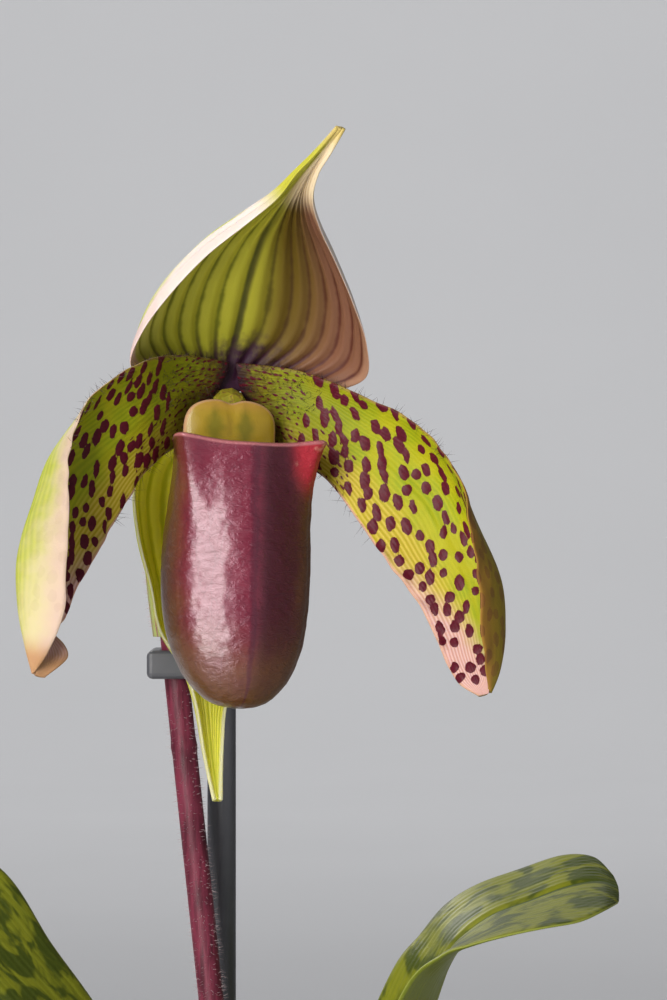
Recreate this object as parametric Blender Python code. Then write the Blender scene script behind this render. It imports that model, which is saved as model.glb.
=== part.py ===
"""A slipper orchid growing in a plain round pot: one bloom on a staked scape above a fan of leaves.

Run it with blender --background --python part.py, or from Blender's text editor.
Tables and constants are in millimetres and degrees; every mesh is made in metres, +Z up,
with the origin at the middle of the pot's underside. The bloom looks towards -Y.
"""

import math
import random

import bmesh
import bpy
import numpy as np
from mathutils import Matrix, Vector

# Units and gaps
MM = 0.001
GAP = 0.3
SEED = 7
SHARP_ANGLE = 40.0
HOLE_SIDES = 24

# Pot and potting bark
POT_HEIGHT = 95.0
POT_RIM_RADIUS = 55.0
POT_FOOT_RADIUS = 40.0
POT_WALL = 1.8
POT_FLOOR = 2.6
POT_LIP = 2.2
POT_LIP_DEPTH = 9.0
POT_EDGE = 1.6
POT_SIDES = 40
DRAIN_HOLES = 5
DRAIN_RADIUS = 4.0
DRAIN_CIRCLE = 24.0
BARK_TOP = 84.0
BARK_CHIPS = 34
CHIP_RELIEF = 3.0
CHIP_SPANS = ((9, 13), (6, 9), (4, 6.5))
CHIP_TILT = 0.33
CUT_ABOVE = 20.0

# The growth: where leaves, scape and roots meet
CROWN = Vector((-11.0, 1.4, 82.0))
CROWN_RADIUS = 11.2
CROWN_DEPTH = 8.0
ROOTS = 5
ROOT_RADIUS = 1.9
ROOT_LENGTH = 52.0
ROOT_SPREAD = 21.0
ROOT_RINGS = 7
ROOT_SIDES = 6
CROWN_SIDES = 24

# Scape, support and the bloom's place on it
SCAPE_RADIUS = 2.25
SCAPE_RINGS = 18
SCAPE_FOOT = (-12.4, 2.0, 82.6)
SCAPE_PATH = (SCAPE_FOOT, (-16.8, 2.6, 125), (-21.6, 3.4, 168), (-27, 4.3, 218), (-29, 4.9, 238))
STAKE_RADIUS = 2.5
STAKE_SIDES = 20
STAKE_AT = (-19.6, 14.0)
STAKE_FOOT = 12.0
STAKE_TOP = 236.0
CLIP_HEIGHT = 4.9
CLIP_MIDDLE = 221.6
CLIP_WALL = 2.0
CLIP_CORNER = 1.0
STEM_SIDES = 12
# A direction that no tube runs along, from which its rings are turned
OFF_TUBES = (0.31, 0.95, 0.05)
BLOOM_AT = Vector((-16.6, -26.0, 266.6))
BLOOM_YAW = 17.0
BLOOM_ROLL = 3.0

# Thickness of living tissue at the middle of a blade and at its margin
PETAL_THICK = (1.0, 0.7)
LEAF_THICK = (1.5, 0.9)
BRACT_THICK = (0.8, 0.7)
POUCH_WALL = 1.0

# Rows along a blade, and columns on each side of its midrib
DORSAL_MESH = (19, 6)
SYNSEPAL_MESH = (16, 5)
PETAL_MESH = (18, 6)
LEAF_MESH = (16, 3)
BRACT_MESH = (9, 5)

# Blades of the bloom. Each row lies across the blade: far margin, far shoulder, midrib, near
# shoulder, near margin, as x to the right, y to the back and z up. A shoulder is the point that
# draws its half of the row into a curve. A row of three is mirrored to make five.
DORSAL = (
    ((0, 4.6, 1.7), (3, 4.6, 1.8), (5, 3.9, 1.9)),
    ((0, 3.4, 7.2), (9, 4.6, 6.4), (14.8, -2.6, 2.2)),
    ((0, 0, 12.6), (14.5, 2, 11), (20.6, -7.8, 4.6)),
    ((0, -3.2, 17.4), (15.5, -1.6, 16.4), (20, -11.2, 10.4)),
    ((0, -7.4, 22.4), (14, -5.6, 21.8), (16.6, -14.6, 16.8)),
    ((0, -12.4, 26.8), (10.2, -10.6, 26.8), (11.8, -18.8, 23)),
    ((0.3, -18.4, 29.9), (6, -17, 30.4), (6.8, -23.4, 28)),
    ((1, -23.8, 32.9), (2.8, -23.2, 33.6), (3.2, -27, 32)),
    ((2, -27.9, 36), (1.4, -27.8, 36.6), (1.8, -29.8, 35.8)),
    ((3.7, -31.2, 39.4), (0.9, -31.2, 39.9), (1.2, -32.4, 39)),
    ((5.8, -34, 43.2), (0.5, -34, 43.4), (0.7, -34.4, 43)),
)
DORSAL_LIP = (0, 0, 0.6, 1, 1.2, 1, 0.7, 0.3, 0, 0, 0)
LIP_FROM = 0.74
SYNSEPAL = (
    ((0, 6.4, -5.4), (3, 6.2, -5.6), (5, 5.4, -5.2)),
    ((-0.8, 7.6, -9.6), (10.4, 8.4, -9.6), (12.6, 3, -8.6)),
    ((-1.4, 8, -15.6), (13.2, 8.6, -15.6), (14.8, 0, -15.2)),
    ((-1.3, 8.4, -23), (12.8, 9.2, -23.4), (13.5, 1, -23.4)),
    ((-1, 8.6, -30.6), (10.4, 9.8, -31.2), (10.8, 2.8, -31.4)),
    ((-0.6, 8.6, -38.2), (8.2, 10, -39), (8.8, 4.4, -38.8)),
    ((-0.2, 8, -45), (4.2, 9, -45.4), (4.6, 5, -45)),
    ((0, 6.8, -51), (2.2, 7.6, -51.2), (2.6, 4.2, -51)),
    ((0, 3.2, -59), (1.2, 3.6, -59.2), (1.6, 1.4, -58.8)),
    ((0, -2, -66.4), (0.5, -2, -66.6), (0.7, -2.6, -66.2)),
)
PETAL = (
    ((0.6, 2.1, 6.4), (0.9, 2, 4), (3.5, 4.8, -0.6), (3.9, 5, -3.6), (4.4, 4.6, -7)),
    ((10.4, -2.7, 5.4), (10.4, -1.2, 3), (10.2, -1.2, 0.2), (10, -0.2, -4.6), (9.6, 0.8, -8.5)),
    ((18.6, -9.4, 2), (18.6, -6.6, -0.2), (17.6, -6.4, -4.4), (16.6, -5.4, -9.2), (15.4, -4.8, -12.6)),
    ((26.8, -14.6, -2.4), (27.2, -9.6, -4.6), (25, -9.8, -10.6), (23.2, -8.6, -16), (20.8, -8.6, -20)),
    ((32.4, -20.4, -9.6), (34.8, -12, -10), (30.6, -12.8, -17.2), (28.2, -11.8, -22.4), (25, -12.4, -26.6)),
    ((33.6, -26.2, -18.8), (39.8, -15.2, -16.2), (34.2, -16.4, -24.6), (32, -15.4, -29), (28.8, -15.4, -32)),
    (
        (34.4, -30, -28.6), (44.8, -20.4, -24.6), (36.6, -20.4, -31.8),
        (34.4, -19.6, -35), (31, -19.2, -37.6),
    ),
    (
        (34.8, -31.4, -36.6), (44.6, -24.2, -33.4), (37.4, -23.8, -38),
        (35.2, -23.2, -40.6), (32.2, -22.2, -41.8),
    ),
    ((36.4, -29.6, -42.2), (41.6, -27.2, -41), (37.8, -26.2, -42.8), (36.2, -25.6, -44.2), (33.8, -24.8, -45)),
    (
        (37.9, -27.5, -45.7), (38.3, -27.1, -45.9), (37.8, -27.2, -46.3),
        (37, -27.1, -46.6), (36.3, -26.9, -46.7),
    ),
)

# The left petal is held a little higher and ends broader: the points that differ from PETAL,
# by row and place in the row
LEFT_SHAPE = {
    (1, 0): (10.4, -2.7, 6.8), (2, 0): (18.8, -9.4, 4.8), (3, 0): (27.2, -14.6, -0.6),
    (4, 1): (36.2, -12, -10), (5, 1): (40.6, -15.2, -16.2),
    (6, 3): (34.8, -19.6, -34.8), (6, 4): (31.6, -19.4, -37.4),
    (7, 3): (35.8, -23.4, -40.2), (7, 4): (34.4, -22.4, -39.4), (8, 4): (32.3, -25.6, -43),
}

# The bract round the foot of the ovary, in the world frame
BRACT = (
    ((-27.6, 1.3, 226.4), (-30.9, 1.3, 226.4), (-30.9, 4.4, 226.4), (-30.9, 7.5, 226.4), (-27.6, 7.5, 226.4)),
    ((-28, 1.5, 233), (-31.8, 1.4, 233), (-31.8, 4.8, 233), (-31.8, 8.1, 233), (-28, 8, 233)),
    ((-28.6, 1.5, 239.6), (-32.5, 1.4, 239.6), (-32.5, 4.9, 239.8), (-32.5, 8.4, 239.6), (-28.6, 8.3, 239.6)),
    ((-30.4, 0.6, 246.4), (-33, 1.2, 246.4), (-33.1, 4.4, 246.6), (-33, 7.8, 246.4), (-30.4, 8, 246.4)),
    ((-32.4, 1.6, 252), (-33.4, 2, 252.2), (-33.6, 3.8, 252.4), (-33.4, 5.6, 252.2), (-32.4, 6, 252)),
    ((-34, 2.8, 256.4), (-34.1, 3, 256.4), (-34.2, 3.4, 256.5), (-34.1, 3.8, 256.4), (-34, 4, 256.4)),
)

# The two leaves in view. Each row: far margin, midrib, near margin, in the world frame.
LEAVES = {
    "leaf_right_upper": (
        ((-10.2, 6.6, 82.5), (-6.8, 1.6, 82.5), (-10.2, -3.4, 82.5)),
        ((-7.6, 9.4, 101.5), (-3.4, 2.6, 99), (-7.6, -4.4, 101.5)),
        ((-2.2, 12.6, 126), (3.2, 3.8, 120), (-1.6, -6, 125.4)),
        ((3, 15, 148.5), (10.2, 4.6, 142.5), (4.6, -7.6, 148)),
        ((10.1, 16.6, 166.9), (17, 5, 163), (12.2, -8.4, 166.7)),
        ((15.4, 17.4, 173.8), (20, 5.2, 170.6), (18.3, -9.4, 172.4)),
        ((19.8, 18, 178.6), (23.2, 5.6, 174.6), (23, -10.2, 174.2)),
        ((25.6, 19, 182.2), (28, 6.5, 178), (29.2, -10.4, 175.8)),
        ((32.8, 19.6, 184.9), (34, 7.5, 180.2), (35.6, -9.6, 177)),
        ((40.4, 19.4, 187.4), (40.6, 8.8, 182.4), (41.8, -6.6, 177.9)),
        ((45.8, 17.6, 187.2), (46, 9.8, 183), (46.4, -1.6, 179.3)),
        ((48.8, 14.4, 184.2), (49.4, 10.4, 181.9), (49.2, 5, 180)),
    ),
    "leaf_left_upper": (
        ((-14.6, 6.6, 82.5), (-18.2, 1.6, 82.5), (-14.6, -3.4, 82.5)),
        ((-17.2, 6.4, 101), (-20.4, 0.4, 100), (-17.4, -6, 101)),
        ((-22.8, 3.6, 127), (-27, -6, 122), (-26, -15.6, 121)),
        ((-31.5, -2, 149), (-37.6, -13.6, 141.6), (-37.8, -26, 135)),
        ((-41.1, -10, 165.3), (-48.6, -21, 157.6), (-51, -33.6, 148)),
        ((-47.7, -14, 175), (-57.4, -25.6, 168.4), (-62, -38.4, 157)),
        ((-56.1, -18, 188.1), (-67.4, -30, 179.6), (-73.6, -42, 167)),
        ((-70, -23, 195.2), (-80.6, -35, 185.6), (-86.4, -45, 173.6)),
        ((-86, -30, 194), (-93.2, -39, 185.2), (-97.8, -46, 175.4)),
        ((-99, -37.6, 187), (-102, -42, 181.4), (-104.6, -45.6, 175.2)),
        ((-106.8, -43, 179.2), (-107.4, -44, 177.6), (-107.8, -44.8, 175.8)),
    ),
}
# The leaves out of view: heading and climb in degrees, length, half width
OUTER_LEAVES = {
    "leaf_right_front": (-46, (80, 66, 46, 26, 6, -12, -26), 122, 17),
    "leaf_right_back": (46, (80, 64, 46, 26, 4, -14, -26), 126, 17.6),
    "leaf_left_front": (238, (78, 62, 40, 20, 0, -14, -24), 112, 16.5),
}
OUTER_FOOT = 9.4
LEAF_STEPS = 12
LEAF_SAG = 0.12
# Along an outer leaf: its share of the half width, and how far each half folds up, in degrees
OUTER_WIDTHS = (0.20, 0.40, 0.78, 1, 0.97, 0.76, 0.12)
OUTER_FOLDS = (30, 40, 32, 24, 16, 12, 6)

# The ovary: how it leaves the scape, how it reaches the bloom, and its radius along the way
OVARY_RISE = (-0.6, 0.4, 17)
OVARY_REACH = 12
OVARY_RINGS = 15
OVARY_RADII = ((0, 0.12, 0.55, 0.9, 1), (2.1, 2.5, 3.1, 3.3, 3.9))
KNOB_DEPTH = (9, 5.4)
KNOB_HEIGHT = -0.8
KNOB_RADII = (4.1, 3.8, 2.9)

# The column's middle line (y, z) and the lumps fused to it (place, radius)
COLUMN = ((5, -1.2), (4.2, -1.1), (3, -0.8), (1.2, -1.6), (-0.6, -2.8), (-1.5, -3.1))
COLUMN_RADII = (1.8, 2.3, 3, 3, 2.3, 1.7)
COLUMN_LUMPS = (((2.4, 2, -3), 1.4), ((-2.4, 2, -3), 1.4), ((0, 1.7, -4.3), 1.9))
COLUMN_SIDES = 10
LUMP_RINGS = 6

# The shield over the pouch's mouth: its middle, size, bulge and edge
SHIELD_AT = (-0.5, -2.2, -6.3)
SHIELD_WIDTH = 15.8
SHIELD_HEIGHT = 12.6
SHIELD_BULGE = 1.8
SHIELD_EDGE = 0.7
SHIELD_NOTCH = 0.3
SHIELD_NOTCH_SPREAD = 0.22
SHIELD_TAPER = 0.16
SHIELD_SIDES = 32

# Pouch sections: height, middle (y), half width, half depth in front and behind, squareness
POUCH = (
    (-50.9, -11, 0.5, 0.5, 0.5, 2),
    (-50.4, -11, 3.4, 3, 3.2, 2),
    (-48.8, -10.6, 6.2, 5.4, 6.4, 2),
    (-45.4, -9.8, 9, 7.6, 9.4, 2.1),
    (-40, -8.6, 11.1, 8.9, 11.2, 2.2),
    (-33, -7.2, 12.1, 9.7, 11.6, 2.25),
    (-25, -6.4, 12.2, 9.9, 11, 2.3),
    (-18, -6.2, 11.6, 9, 9.6, 2.4),
    (-12, -6.2, 10.9, 8, 8.4, 2.5),
    (-7.4, -6.2, 10.7, 7.7, 7.8, 2.6),
)
POUCH_SIDES = 30
POUCH_LEVELS = 15
EAR_FLARE = (2.8, -2.4, 1.0)
EAR_FROM = -24
EAR_ANGLE = 28
EAR_SPREAD = 30
BACK_RISE = 0.8
MOUTH_LEAST = 0.3


def clear_scene():
    for obj in list(bpy.data.objects):
        bpy.data.objects.remove(obj)


def material(name, color, roughness):
    made = bpy.data.materials.new(name)
    made.use_nodes = True
    shader = made.node_tree.nodes["Principled BSDF"]
    shader.inputs["Base Color"].default_value = (*color, 1.0)
    shader.inputs["Roughness"].default_value = roughness
    return made


def through(values, steps):
    """Catmull-Rom through evenly numbered values, read at steps from 0 to 1."""
    rows = np.asarray(values, float)
    last = len(rows) - 1
    at = np.clip(np.asarray(steps, float) * last, 0, last - 1e-9)
    i = at.astype(int)
    f = (at - i).reshape(-1, *[1] * (rows.ndim - 1))
    a, b, c, d = (rows[np.clip(i + k, 0, last)] for k in (-1, 0, 1, 2))
    return b + 0.5 * f * (c - a + f * (2 * a - 5 * b + 4 * c - d + f * (3 * (b - c) + d - a)))


def unit(vectors):
    return vectors / np.linalg.norm(vectors, axis=-1, keepdims=True)


def bloom_to_world(points):
    yaw = Matrix.Rotation(math.radians(BLOOM_YAW), 3, "Z")
    roll = Matrix.Rotation(math.radians(BLOOM_ROLL), 3, "Y")
    return np.asarray(points, float) @ np.array(yaw @ roll).T + np.array(BLOOM_AT)


def new_object(name, points, faces, finish):
    """A closed mesh from millimetre points, turned so that its faces look out."""
    mesh = bpy.data.meshes.new(name)
    mesh.from_pydata((np.asarray(points) * MM).tolist(), [], faces)
    shell = bmesh.new()
    shell.from_mesh(mesh)
    bmesh.ops.recalc_face_normals(shell, faces=shell.faces)
    if shell.calc_volume(signed=True) < 0:
        bmesh.ops.reverse_faces(shell, faces=shell.faces)
    shell.to_mesh(mesh)
    shell.free()
    mesh.shade_smooth()
    mesh.set_sharp_from_angle(angle=math.radians(SHARP_ANGLE))
    mesh.materials.append(finish)
    obj = bpy.data.objects.new(name, mesh)
    bpy.context.collection.objects.link(obj)
    return obj


def join(target, other, operation):
    """Boolean of target with other, applied, and the other object removed."""
    cut = target.modifiers.new(operation.lower(), "BOOLEAN")
    cut.operation = operation
    cut.object = other
    cut.solver = "EXACT"
    apply_modifiers(target)
    bpy.data.objects.remove(other)


def apply_modifiers(obj):
    bpy.context.view_layer.update()
    graph = bpy.context.evaluated_depsgraph_get()
    mesh = bpy.data.meshes.new_from_object(obj.evaluated_get(graph))
    obj.modifiers.clear()
    obj.data = mesh


def half_row(shoulder, margin, middle, shares):
    """A curve from the midrib to the margin, drawn towards the shoulder."""
    t = shares[:, None]
    return middle * (1 - t) ** 2 + 2 * shoulder * t * (1 - t) + margin * t * t


def both_halves(rows):
    """Rows of five from rows of midrib, shoulder and margin; the halves follow the midrib's drift."""
    full = []
    for row in rows:
        middle, shoulder, margin = np.array(row, float)
        drift = middle * (1, 0, 0)
        far_margin, far_shoulder = (point * (-1, 1, 1) + drift for point in (margin, shoulder))
        full.append((far_margin, far_shoulder, middle, shoulder + drift, margin + drift))
    return full


def blade_surface(rows, mesh_size, lip=None):
    """Grid of points and of normals of a curved blade; lip turns its margins back, in millimetres."""
    row_count, half_columns = mesh_size
    steps = np.linspace(0, 1, row_count)
    table = through(np.array(rows), steps)
    shares = np.linspace(0, 1, half_columns + 1)
    grid = np.empty((row_count, 2 * half_columns + 1, 3))
    for i, (far, far_shoulder, middle, near_shoulder, near) in enumerate(table):
        grid[i, : half_columns + 1] = half_row(far_shoulder, far, middle, shares)[::-1]
        grid[i, half_columns:] = half_row(near_shoulder, near, middle, shares)
    normals = unit(np.cross(np.gradient(grid, axis=1), np.gradient(grid, axis=0)))
    if lip is not None:
        reach = (np.abs(np.linspace(-1, 1, 2 * half_columns + 1)) - LIP_FROM) / (1 - LIP_FROM)
        reach = np.clip(reach, 0, 1) ** 2
        grid = grid + normals * through(lip, steps)[:, None, None] * reach[None, :, None]
        normals = unit(np.cross(np.gradient(grid, axis=1), np.gradient(grid, axis=0)))
    return grid, normals


def closed_blade(grid, normals, thick):
    """Points and triangles of the blade with its thickness, split alike on both faces."""
    rows, columns, _ = grid.shape
    share = np.abs(np.linspace(-1, 1, columns)) ** 2
    half = 0.5 * (thick[0] + (thick[1] - thick[0]) * share)[None, :, None]
    points = np.concatenate([(grid + normals * half).reshape(-1, 3), (grid - normals * half).reshape(-1, 3)])
    under = rows * columns
    faces = []
    for i in range(rows - 1):
        for j in range(columns - 1):
            a, b = i * columns + j, i * columns + j + 1
            c, d = a + columns, b + columns
            faces += [(a, b, d), (a, d, c)]
            faces += [(under + a, under + d, under + b), (under + a, under + c, under + d)]
    loop = [*range(columns), *[i * columns + columns - 1 for i in range(1, rows)]]
    loop += [(rows - 1) * columns + j for j in range(columns - 2, -1, -1)]
    loop += [i * columns for i in range(rows - 2, 0, -1)]
    for a, b in zip(loop, loop[1:] + loop[:1]):
        faces += [(b, a, under + a), (b, under + a, under + b)]
    return points, faces


def left_petal():
    rows = [list(row) for row in PETAL]
    for (row, place), point in LEFT_SHAPE.items():
        rows[row][place] = point
    return rows


def bloom_blade(name, rows, mesh_size, finish, lip=None, mirror=False):
    grid, normals = blade_surface(rows, mesh_size, lip)
    points, faces = closed_blade(grid, normals, PETAL_THICK)
    if mirror:
        points = points * (-1, 1, 1)
    new_object(name, bloom_to_world(points), faces, finish)


def leaf_row(far, middle, near):
    """Five points across a leaf: each half bends a little, hollow above."""
    far, middle, near = np.array(far), np.array(middle), np.array(near)
    sag = (middle - (far + near) / 2) * LEAF_SAG
    return (far, (far + middle) / 2 + sag, middle, (near + middle) / 2 + sag, near)


def outer_leaf(heading, climbs, length, half_width):
    """Rows of a leaf that arches out from the crown in one direction."""
    last = len(climbs) - 1
    steps = np.linspace(0, 1, LEAF_STEPS * last + 1)
    climb = np.radians(through(climbs, steps))
    turn = math.radians(heading)
    out = np.array((math.cos(turn), math.sin(turn), 0.0))
    up = np.array((0.0, 0.0, 1.0))
    across = np.cross(up, out)
    ways = np.outer(np.cos(climb), out) + np.outer(np.sin(climb), up)
    run = np.cumsum((ways[1:] + ways[:-1]) / 2 * length / (len(steps) - 1), axis=0)
    spine = np.array(CROWN) + out * OUTER_FOOT + up * 2 * GAP + np.concatenate([[np.zeros(3)], run])
    rows = []
    for middle, ahead, share, fold in zip(spine[::LEAF_STEPS], ways[::LEAF_STEPS], OUTER_WIDTHS, OUTER_FOLDS):
        width = half_width * share
        lift = np.cross(ahead, across) * width * math.sin(math.radians(fold))
        reach = across * width * math.cos(math.radians(fold))
        rows.append((middle + reach + lift, middle, middle - reach + lift))
    return rows


def build_leaves(finish):
    shapes = dict(LEAVES)
    for name, shape in OUTER_LEAVES.items():
        shapes[name] = outer_leaf(*shape)
    for name, rows in shapes.items():
        grid, normals = blade_surface([leaf_row(*row) for row in rows], LEAF_MESH)
        points, faces = closed_blade(grid, normals, LEAF_THICK)
        new_object(name, points, faces, finish)


def build_bract(finish):
    grid, normals = blade_surface(BRACT, BRACT_MESH)
    points, faces = closed_blade(grid, normals, BRACT_THICK)
    new_object("bract", points, faces, finish)


def rounded(turns, reach, square):
    """One coordinate of a squarish oval."""
    return np.sign(turns) * np.abs(turns) ** (2 / square) * np.maximum(reach, MOUTH_LEAST)


def pouch_ring(height, middle, wide, fore, aft, square, inset):
    """One level of the pouch, with the corners of its mouth drawn out into ears."""
    turns = np.linspace(0, 2 * math.pi, POUCH_SIDES, endpoint=False)
    c, s = np.cos(turns), np.sin(turns)
    x = rounded(c, wide - inset, square)
    y = middle + rounded(s, np.where(s < 0, fore, aft) - inset, square)
    ring = np.stack([x, y, np.full(POUCH_SIDES, height)], 1)
    rise = max(0.0, (height - EAR_FROM) / (POUCH[-1][0] - EAR_FROM)) ** 2
    for side, corner in ((1, -EAR_ANGLE), (-1, 180 + EAR_ANGLE)):
        away = np.abs((turns - math.radians(corner) + math.pi) % (2 * math.pi) - math.pi)
        pull = rise * np.exp(-((away / math.radians(EAR_SPREAD)) ** 2))
        ring += np.outer(pull, EAR_FLARE) * (side, 1, 1)
    ring[:, 2] += BACK_RISE * rise * np.clip(s, 0, 1) ** 3
    return ring


def build_pouch(finish):
    """The slipper: an outer skin up to the rim, then an inner skin one wall inside it."""
    rows = through(POUCH, np.linspace(0, 1, POUCH_LEVELS))
    outer = [pouch_ring(*row, 0.0) for row in rows]
    inner = [pouch_ring(*row, POUCH_WALL) for row in rows[2:]]
    inner[0] = inner[0] + (0, 0, POUCH_WALL / 2)
    points, faces = capped_rings(outer + inner[::-1])
    new_object("pouch", bloom_to_world(points), faces, finish)


def capped_rings(rings):
    """Points and triangles of a skin over rings of points, closed by a fan at each end."""
    sides = len(rings[0])
    points = np.concatenate([[rings[0].mean(0)], *rings, [rings[-1].mean(0)]])
    faces = []
    for k in range(len(rings) - 1):
        for j in range(sides):
            a, b = 1 + k * sides + j, 1 + k * sides + (j + 1) % sides
            faces += [(a, b, b + sides), (a, b + sides, a + sides)]
    last = 1 + (len(rings) - 1) * sides
    for j in range(sides):
        after = (j + 1) % sides
        faces += [(0, 1 + after, 1 + j), (len(points) - 1, last + j, last + after)]
    return points, faces


def tube_points(path, radii, sides):
    """A closed tube along a path."""
    path = np.asarray(path, float)
    along = unit(np.gradient(path, axis=0))
    side = unit(np.cross(along, OFF_TUBES))
    other = np.cross(along, side)
    turns = np.linspace(0, 2 * math.pi, sides, endpoint=False)
    rings = []
    for middle, radius, u, v in zip(path, radii, side, other):
        rings.append(middle + radius * (np.outer(np.cos(turns), u) + np.outer(np.sin(turns), v)))
    return capped_rings(rings)


def bezier(a, b, c, d, count):
    t = np.linspace(0, 1, count)[:, None]
    a, b, c, d = (np.asarray(p, float) for p in (a, b, c, d))
    return a * (1 - t) ** 3 + 3 * b * t * (1 - t) ** 2 + 3 * c * t * t * (1 - t) + d * t**3


def build_scape(finish):
    path = through(SCAPE_PATH, np.linspace(0, 1, SCAPE_RINGS))
    radii = SCAPE_RADIUS * np.linspace(1.04, 0.97, SCAPE_RINGS)
    points, faces = tube_points(path, radii, STEM_SIDES)
    new_object("scape", points, faces, finish)


def build_ovary(finish):
    """From the top of the scape it bows forwards to the knob that carries every part of the bloom."""
    foot = np.array(SCAPE_PATH[-1]) + (0, 0, 1.7 * GAP)
    knob, face = bloom_to_world(((0, KNOB_DEPTH[0], KNOB_HEIGHT), (0, KNOB_DEPTH[1], KNOB_HEIGHT)))
    ahead = unit(face - knob)
    bow = bezier(foot, foot + OVARY_RISE, knob - ahead * OVARY_REACH, knob, OVARY_RINGS)
    path = np.concatenate([bow, [knob + (face - knob) * share for share in (0.35, 0.7, 1.0)]])
    shares = np.linspace(0, 1, OVARY_RINGS)
    radii = np.concatenate([np.interp(shares, *OVARY_RADII), KNOB_RADII])
    points, faces = tube_points(path, radii, STEM_SIDES)
    new_object("ovary", points, faces, finish)


def build_column(finish):
    """The short post that carries the shield, with an anther on each side and the stigma below."""
    spine = [(0.0, y, z) for y, z in COLUMN]
    points, faces = tube_points(bloom_to_world(spine), COLUMN_RADII, COLUMN_SIDES)
    column = new_object("column", points, faces, finish)
    for at, radius in COLUMN_LUMPS:
        place = Vector(bloom_to_world([at])[0])
        bpy.ops.mesh.primitive_uv_sphere_add(
            segments=COLUMN_SIDES, ring_count=LUMP_RINGS, radius=radius * MM, location=place * MM
        )
        join(column, bpy.context.object, "UNION")


def build_staminode(finish):
    """The shield in the middle of the bloom: two lobes with a notch above, bulging forwards."""
    turns = np.linspace(0, 2 * math.pi, SHIELD_SIDES, endpoint=False)
    notch = 1 - SHIELD_NOTCH * np.exp(-(((turns - math.pi / 2) / SHIELD_NOTCH_SPREAD) ** 2))
    taper = 1 - SHIELD_TAPER * np.clip(-np.sin(turns), 0, 1)
    x = np.cos(turns) * SHIELD_WIDTH / 2 * notch * taper
    z = np.sin(turns) * SHIELD_HEIGHT / 2 * notch
    rings = []
    for share in (0.25, 0.5, 0.75, 0.92, 1.0):
        bulge = SHIELD_BULGE * math.sqrt(1 - share**2)
        rings.append(np.stack([x * share, np.full(SHIELD_SIDES, -SHIELD_EDGE - bulge), z * share], 1))
    for share in (1.0, 0.5):
        rings.append(np.stack([x * share, np.zeros(SHIELD_SIDES), z * share], 1))
    points, faces = capped_rings(rings)
    new_object("staminode", bloom_to_world(points + SHIELD_AT), faces, finish)


def build_stake(finish):
    ends = (STAKE_FOOT, STAKE_FOOT + 2, STAKE_TOP - 1.6, STAKE_TOP - 0.5, STAKE_TOP)
    path = [(*STAKE_AT, height) for height in ends]
    radii = STAKE_RADIUS * np.array((0.6, 1, 1, 0.82, 0.4))
    points, faces = tube_points(path, radii, STAKE_SIDES)
    new_object("stake", points, faces, finish)


def scape_at(height):
    """Where the scape's middle is at a height."""
    path = through(SCAPE_PATH, np.linspace(0, 1, 200))
    return np.array([np.interp(height, path[:, 2], path[:, k]) for k in (0, 1)])


def cylinder(radius, low, high, at, lean=None):
    """A plain round bar to cut a hole with, upright or leaning."""
    depth = (high - low) * MM
    middle = Vector((*at, (low + high) / 2)) * MM
    bpy.ops.mesh.primitive_cylinder_add(
        vertices=HOLE_SIDES, radius=radius * MM, depth=depth, location=middle
    )
    bar = bpy.context.object
    if lean is not None:
        bar.rotation_euler = lean.to_track_quat("Z", "Y").to_euler()
    return bar


def build_clip(finish):
    """A block with rounded corners round the scape and the stake, with a plain hole for each."""
    stem = scape_at(CLIP_MIDDLE)
    stake = np.array(STAKE_AT)
    reach = max(SCAPE_RADIUS, STAKE_RADIUS) + GAP + CLIP_WALL
    low = np.minimum(stem, stake) - reach
    high = np.maximum(stem, stake) + reach
    bpy.ops.mesh.primitive_cube_add(size=1, location=np.append((low + high) / 2, CLIP_MIDDLE) * MM)
    clip = bpy.context.object
    clip.name = "stem_clip"
    clip.scale = np.append(high - low, CLIP_HEIGHT) * MM
    bpy.ops.object.transform_apply(location=False, rotation=False, scale=True)
    bevel = clip.modifiers.new("round corners", "BEVEL")
    bevel.width = CLIP_CORNER * MM
    bevel.segments = 3
    apply_modifiers(clip)
    below, above = CLIP_MIDDLE - 2 * CLIP_HEIGHT, CLIP_MIDDLE + 2 * CLIP_HEIGHT
    lean = Vector((*(scape_at(above) - scape_at(below)), above - below))
    join(clip, cylinder(SCAPE_RADIUS + GAP, below, above, stem, lean), "DIFFERENCE")
    join(clip, cylinder(STAKE_RADIUS + GAP, below, above, stake), "DIFFERENCE")
    dress(clip, finish)


def dress(obj, finish):
    """Gives the whole object one material."""
    obj.data.materials.clear()
    obj.data.materials.append(finish)


def lathe(name, profile, sides, finish):
    """Turns a closed outline of (radius, height) round the pot's axis; ends on the axis become poles."""
    turns = np.linspace(0, 2 * math.pi, sides, endpoint=False)
    points, starts = [], []
    for radius, height in profile:
        starts.append((len(points), radius == 0))
        around = turns[:1] if radius == 0 else turns
        points += [(radius * math.cos(t), radius * math.sin(t), height) for t in around]
    faces = []
    for (a, a_pole), (b, b_pole) in zip(starts, starts[1:]):
        for j in range(sides):
            after = (j + 1) % sides
            if a_pole:
                faces.append((a, b + after, b + j))
            elif b_pole:
                faces.append((a + j, a + after, b))
            else:
                faces.append((a + j, a + after, b + after, b + j))
    return new_object(name, points, faces, finish)


def pot_radius(height):
    return POT_FOOT_RADIUS + (POT_RIM_RADIUS - POT_LIP - POT_FOOT_RADIUS) * height / POT_HEIGHT


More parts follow.
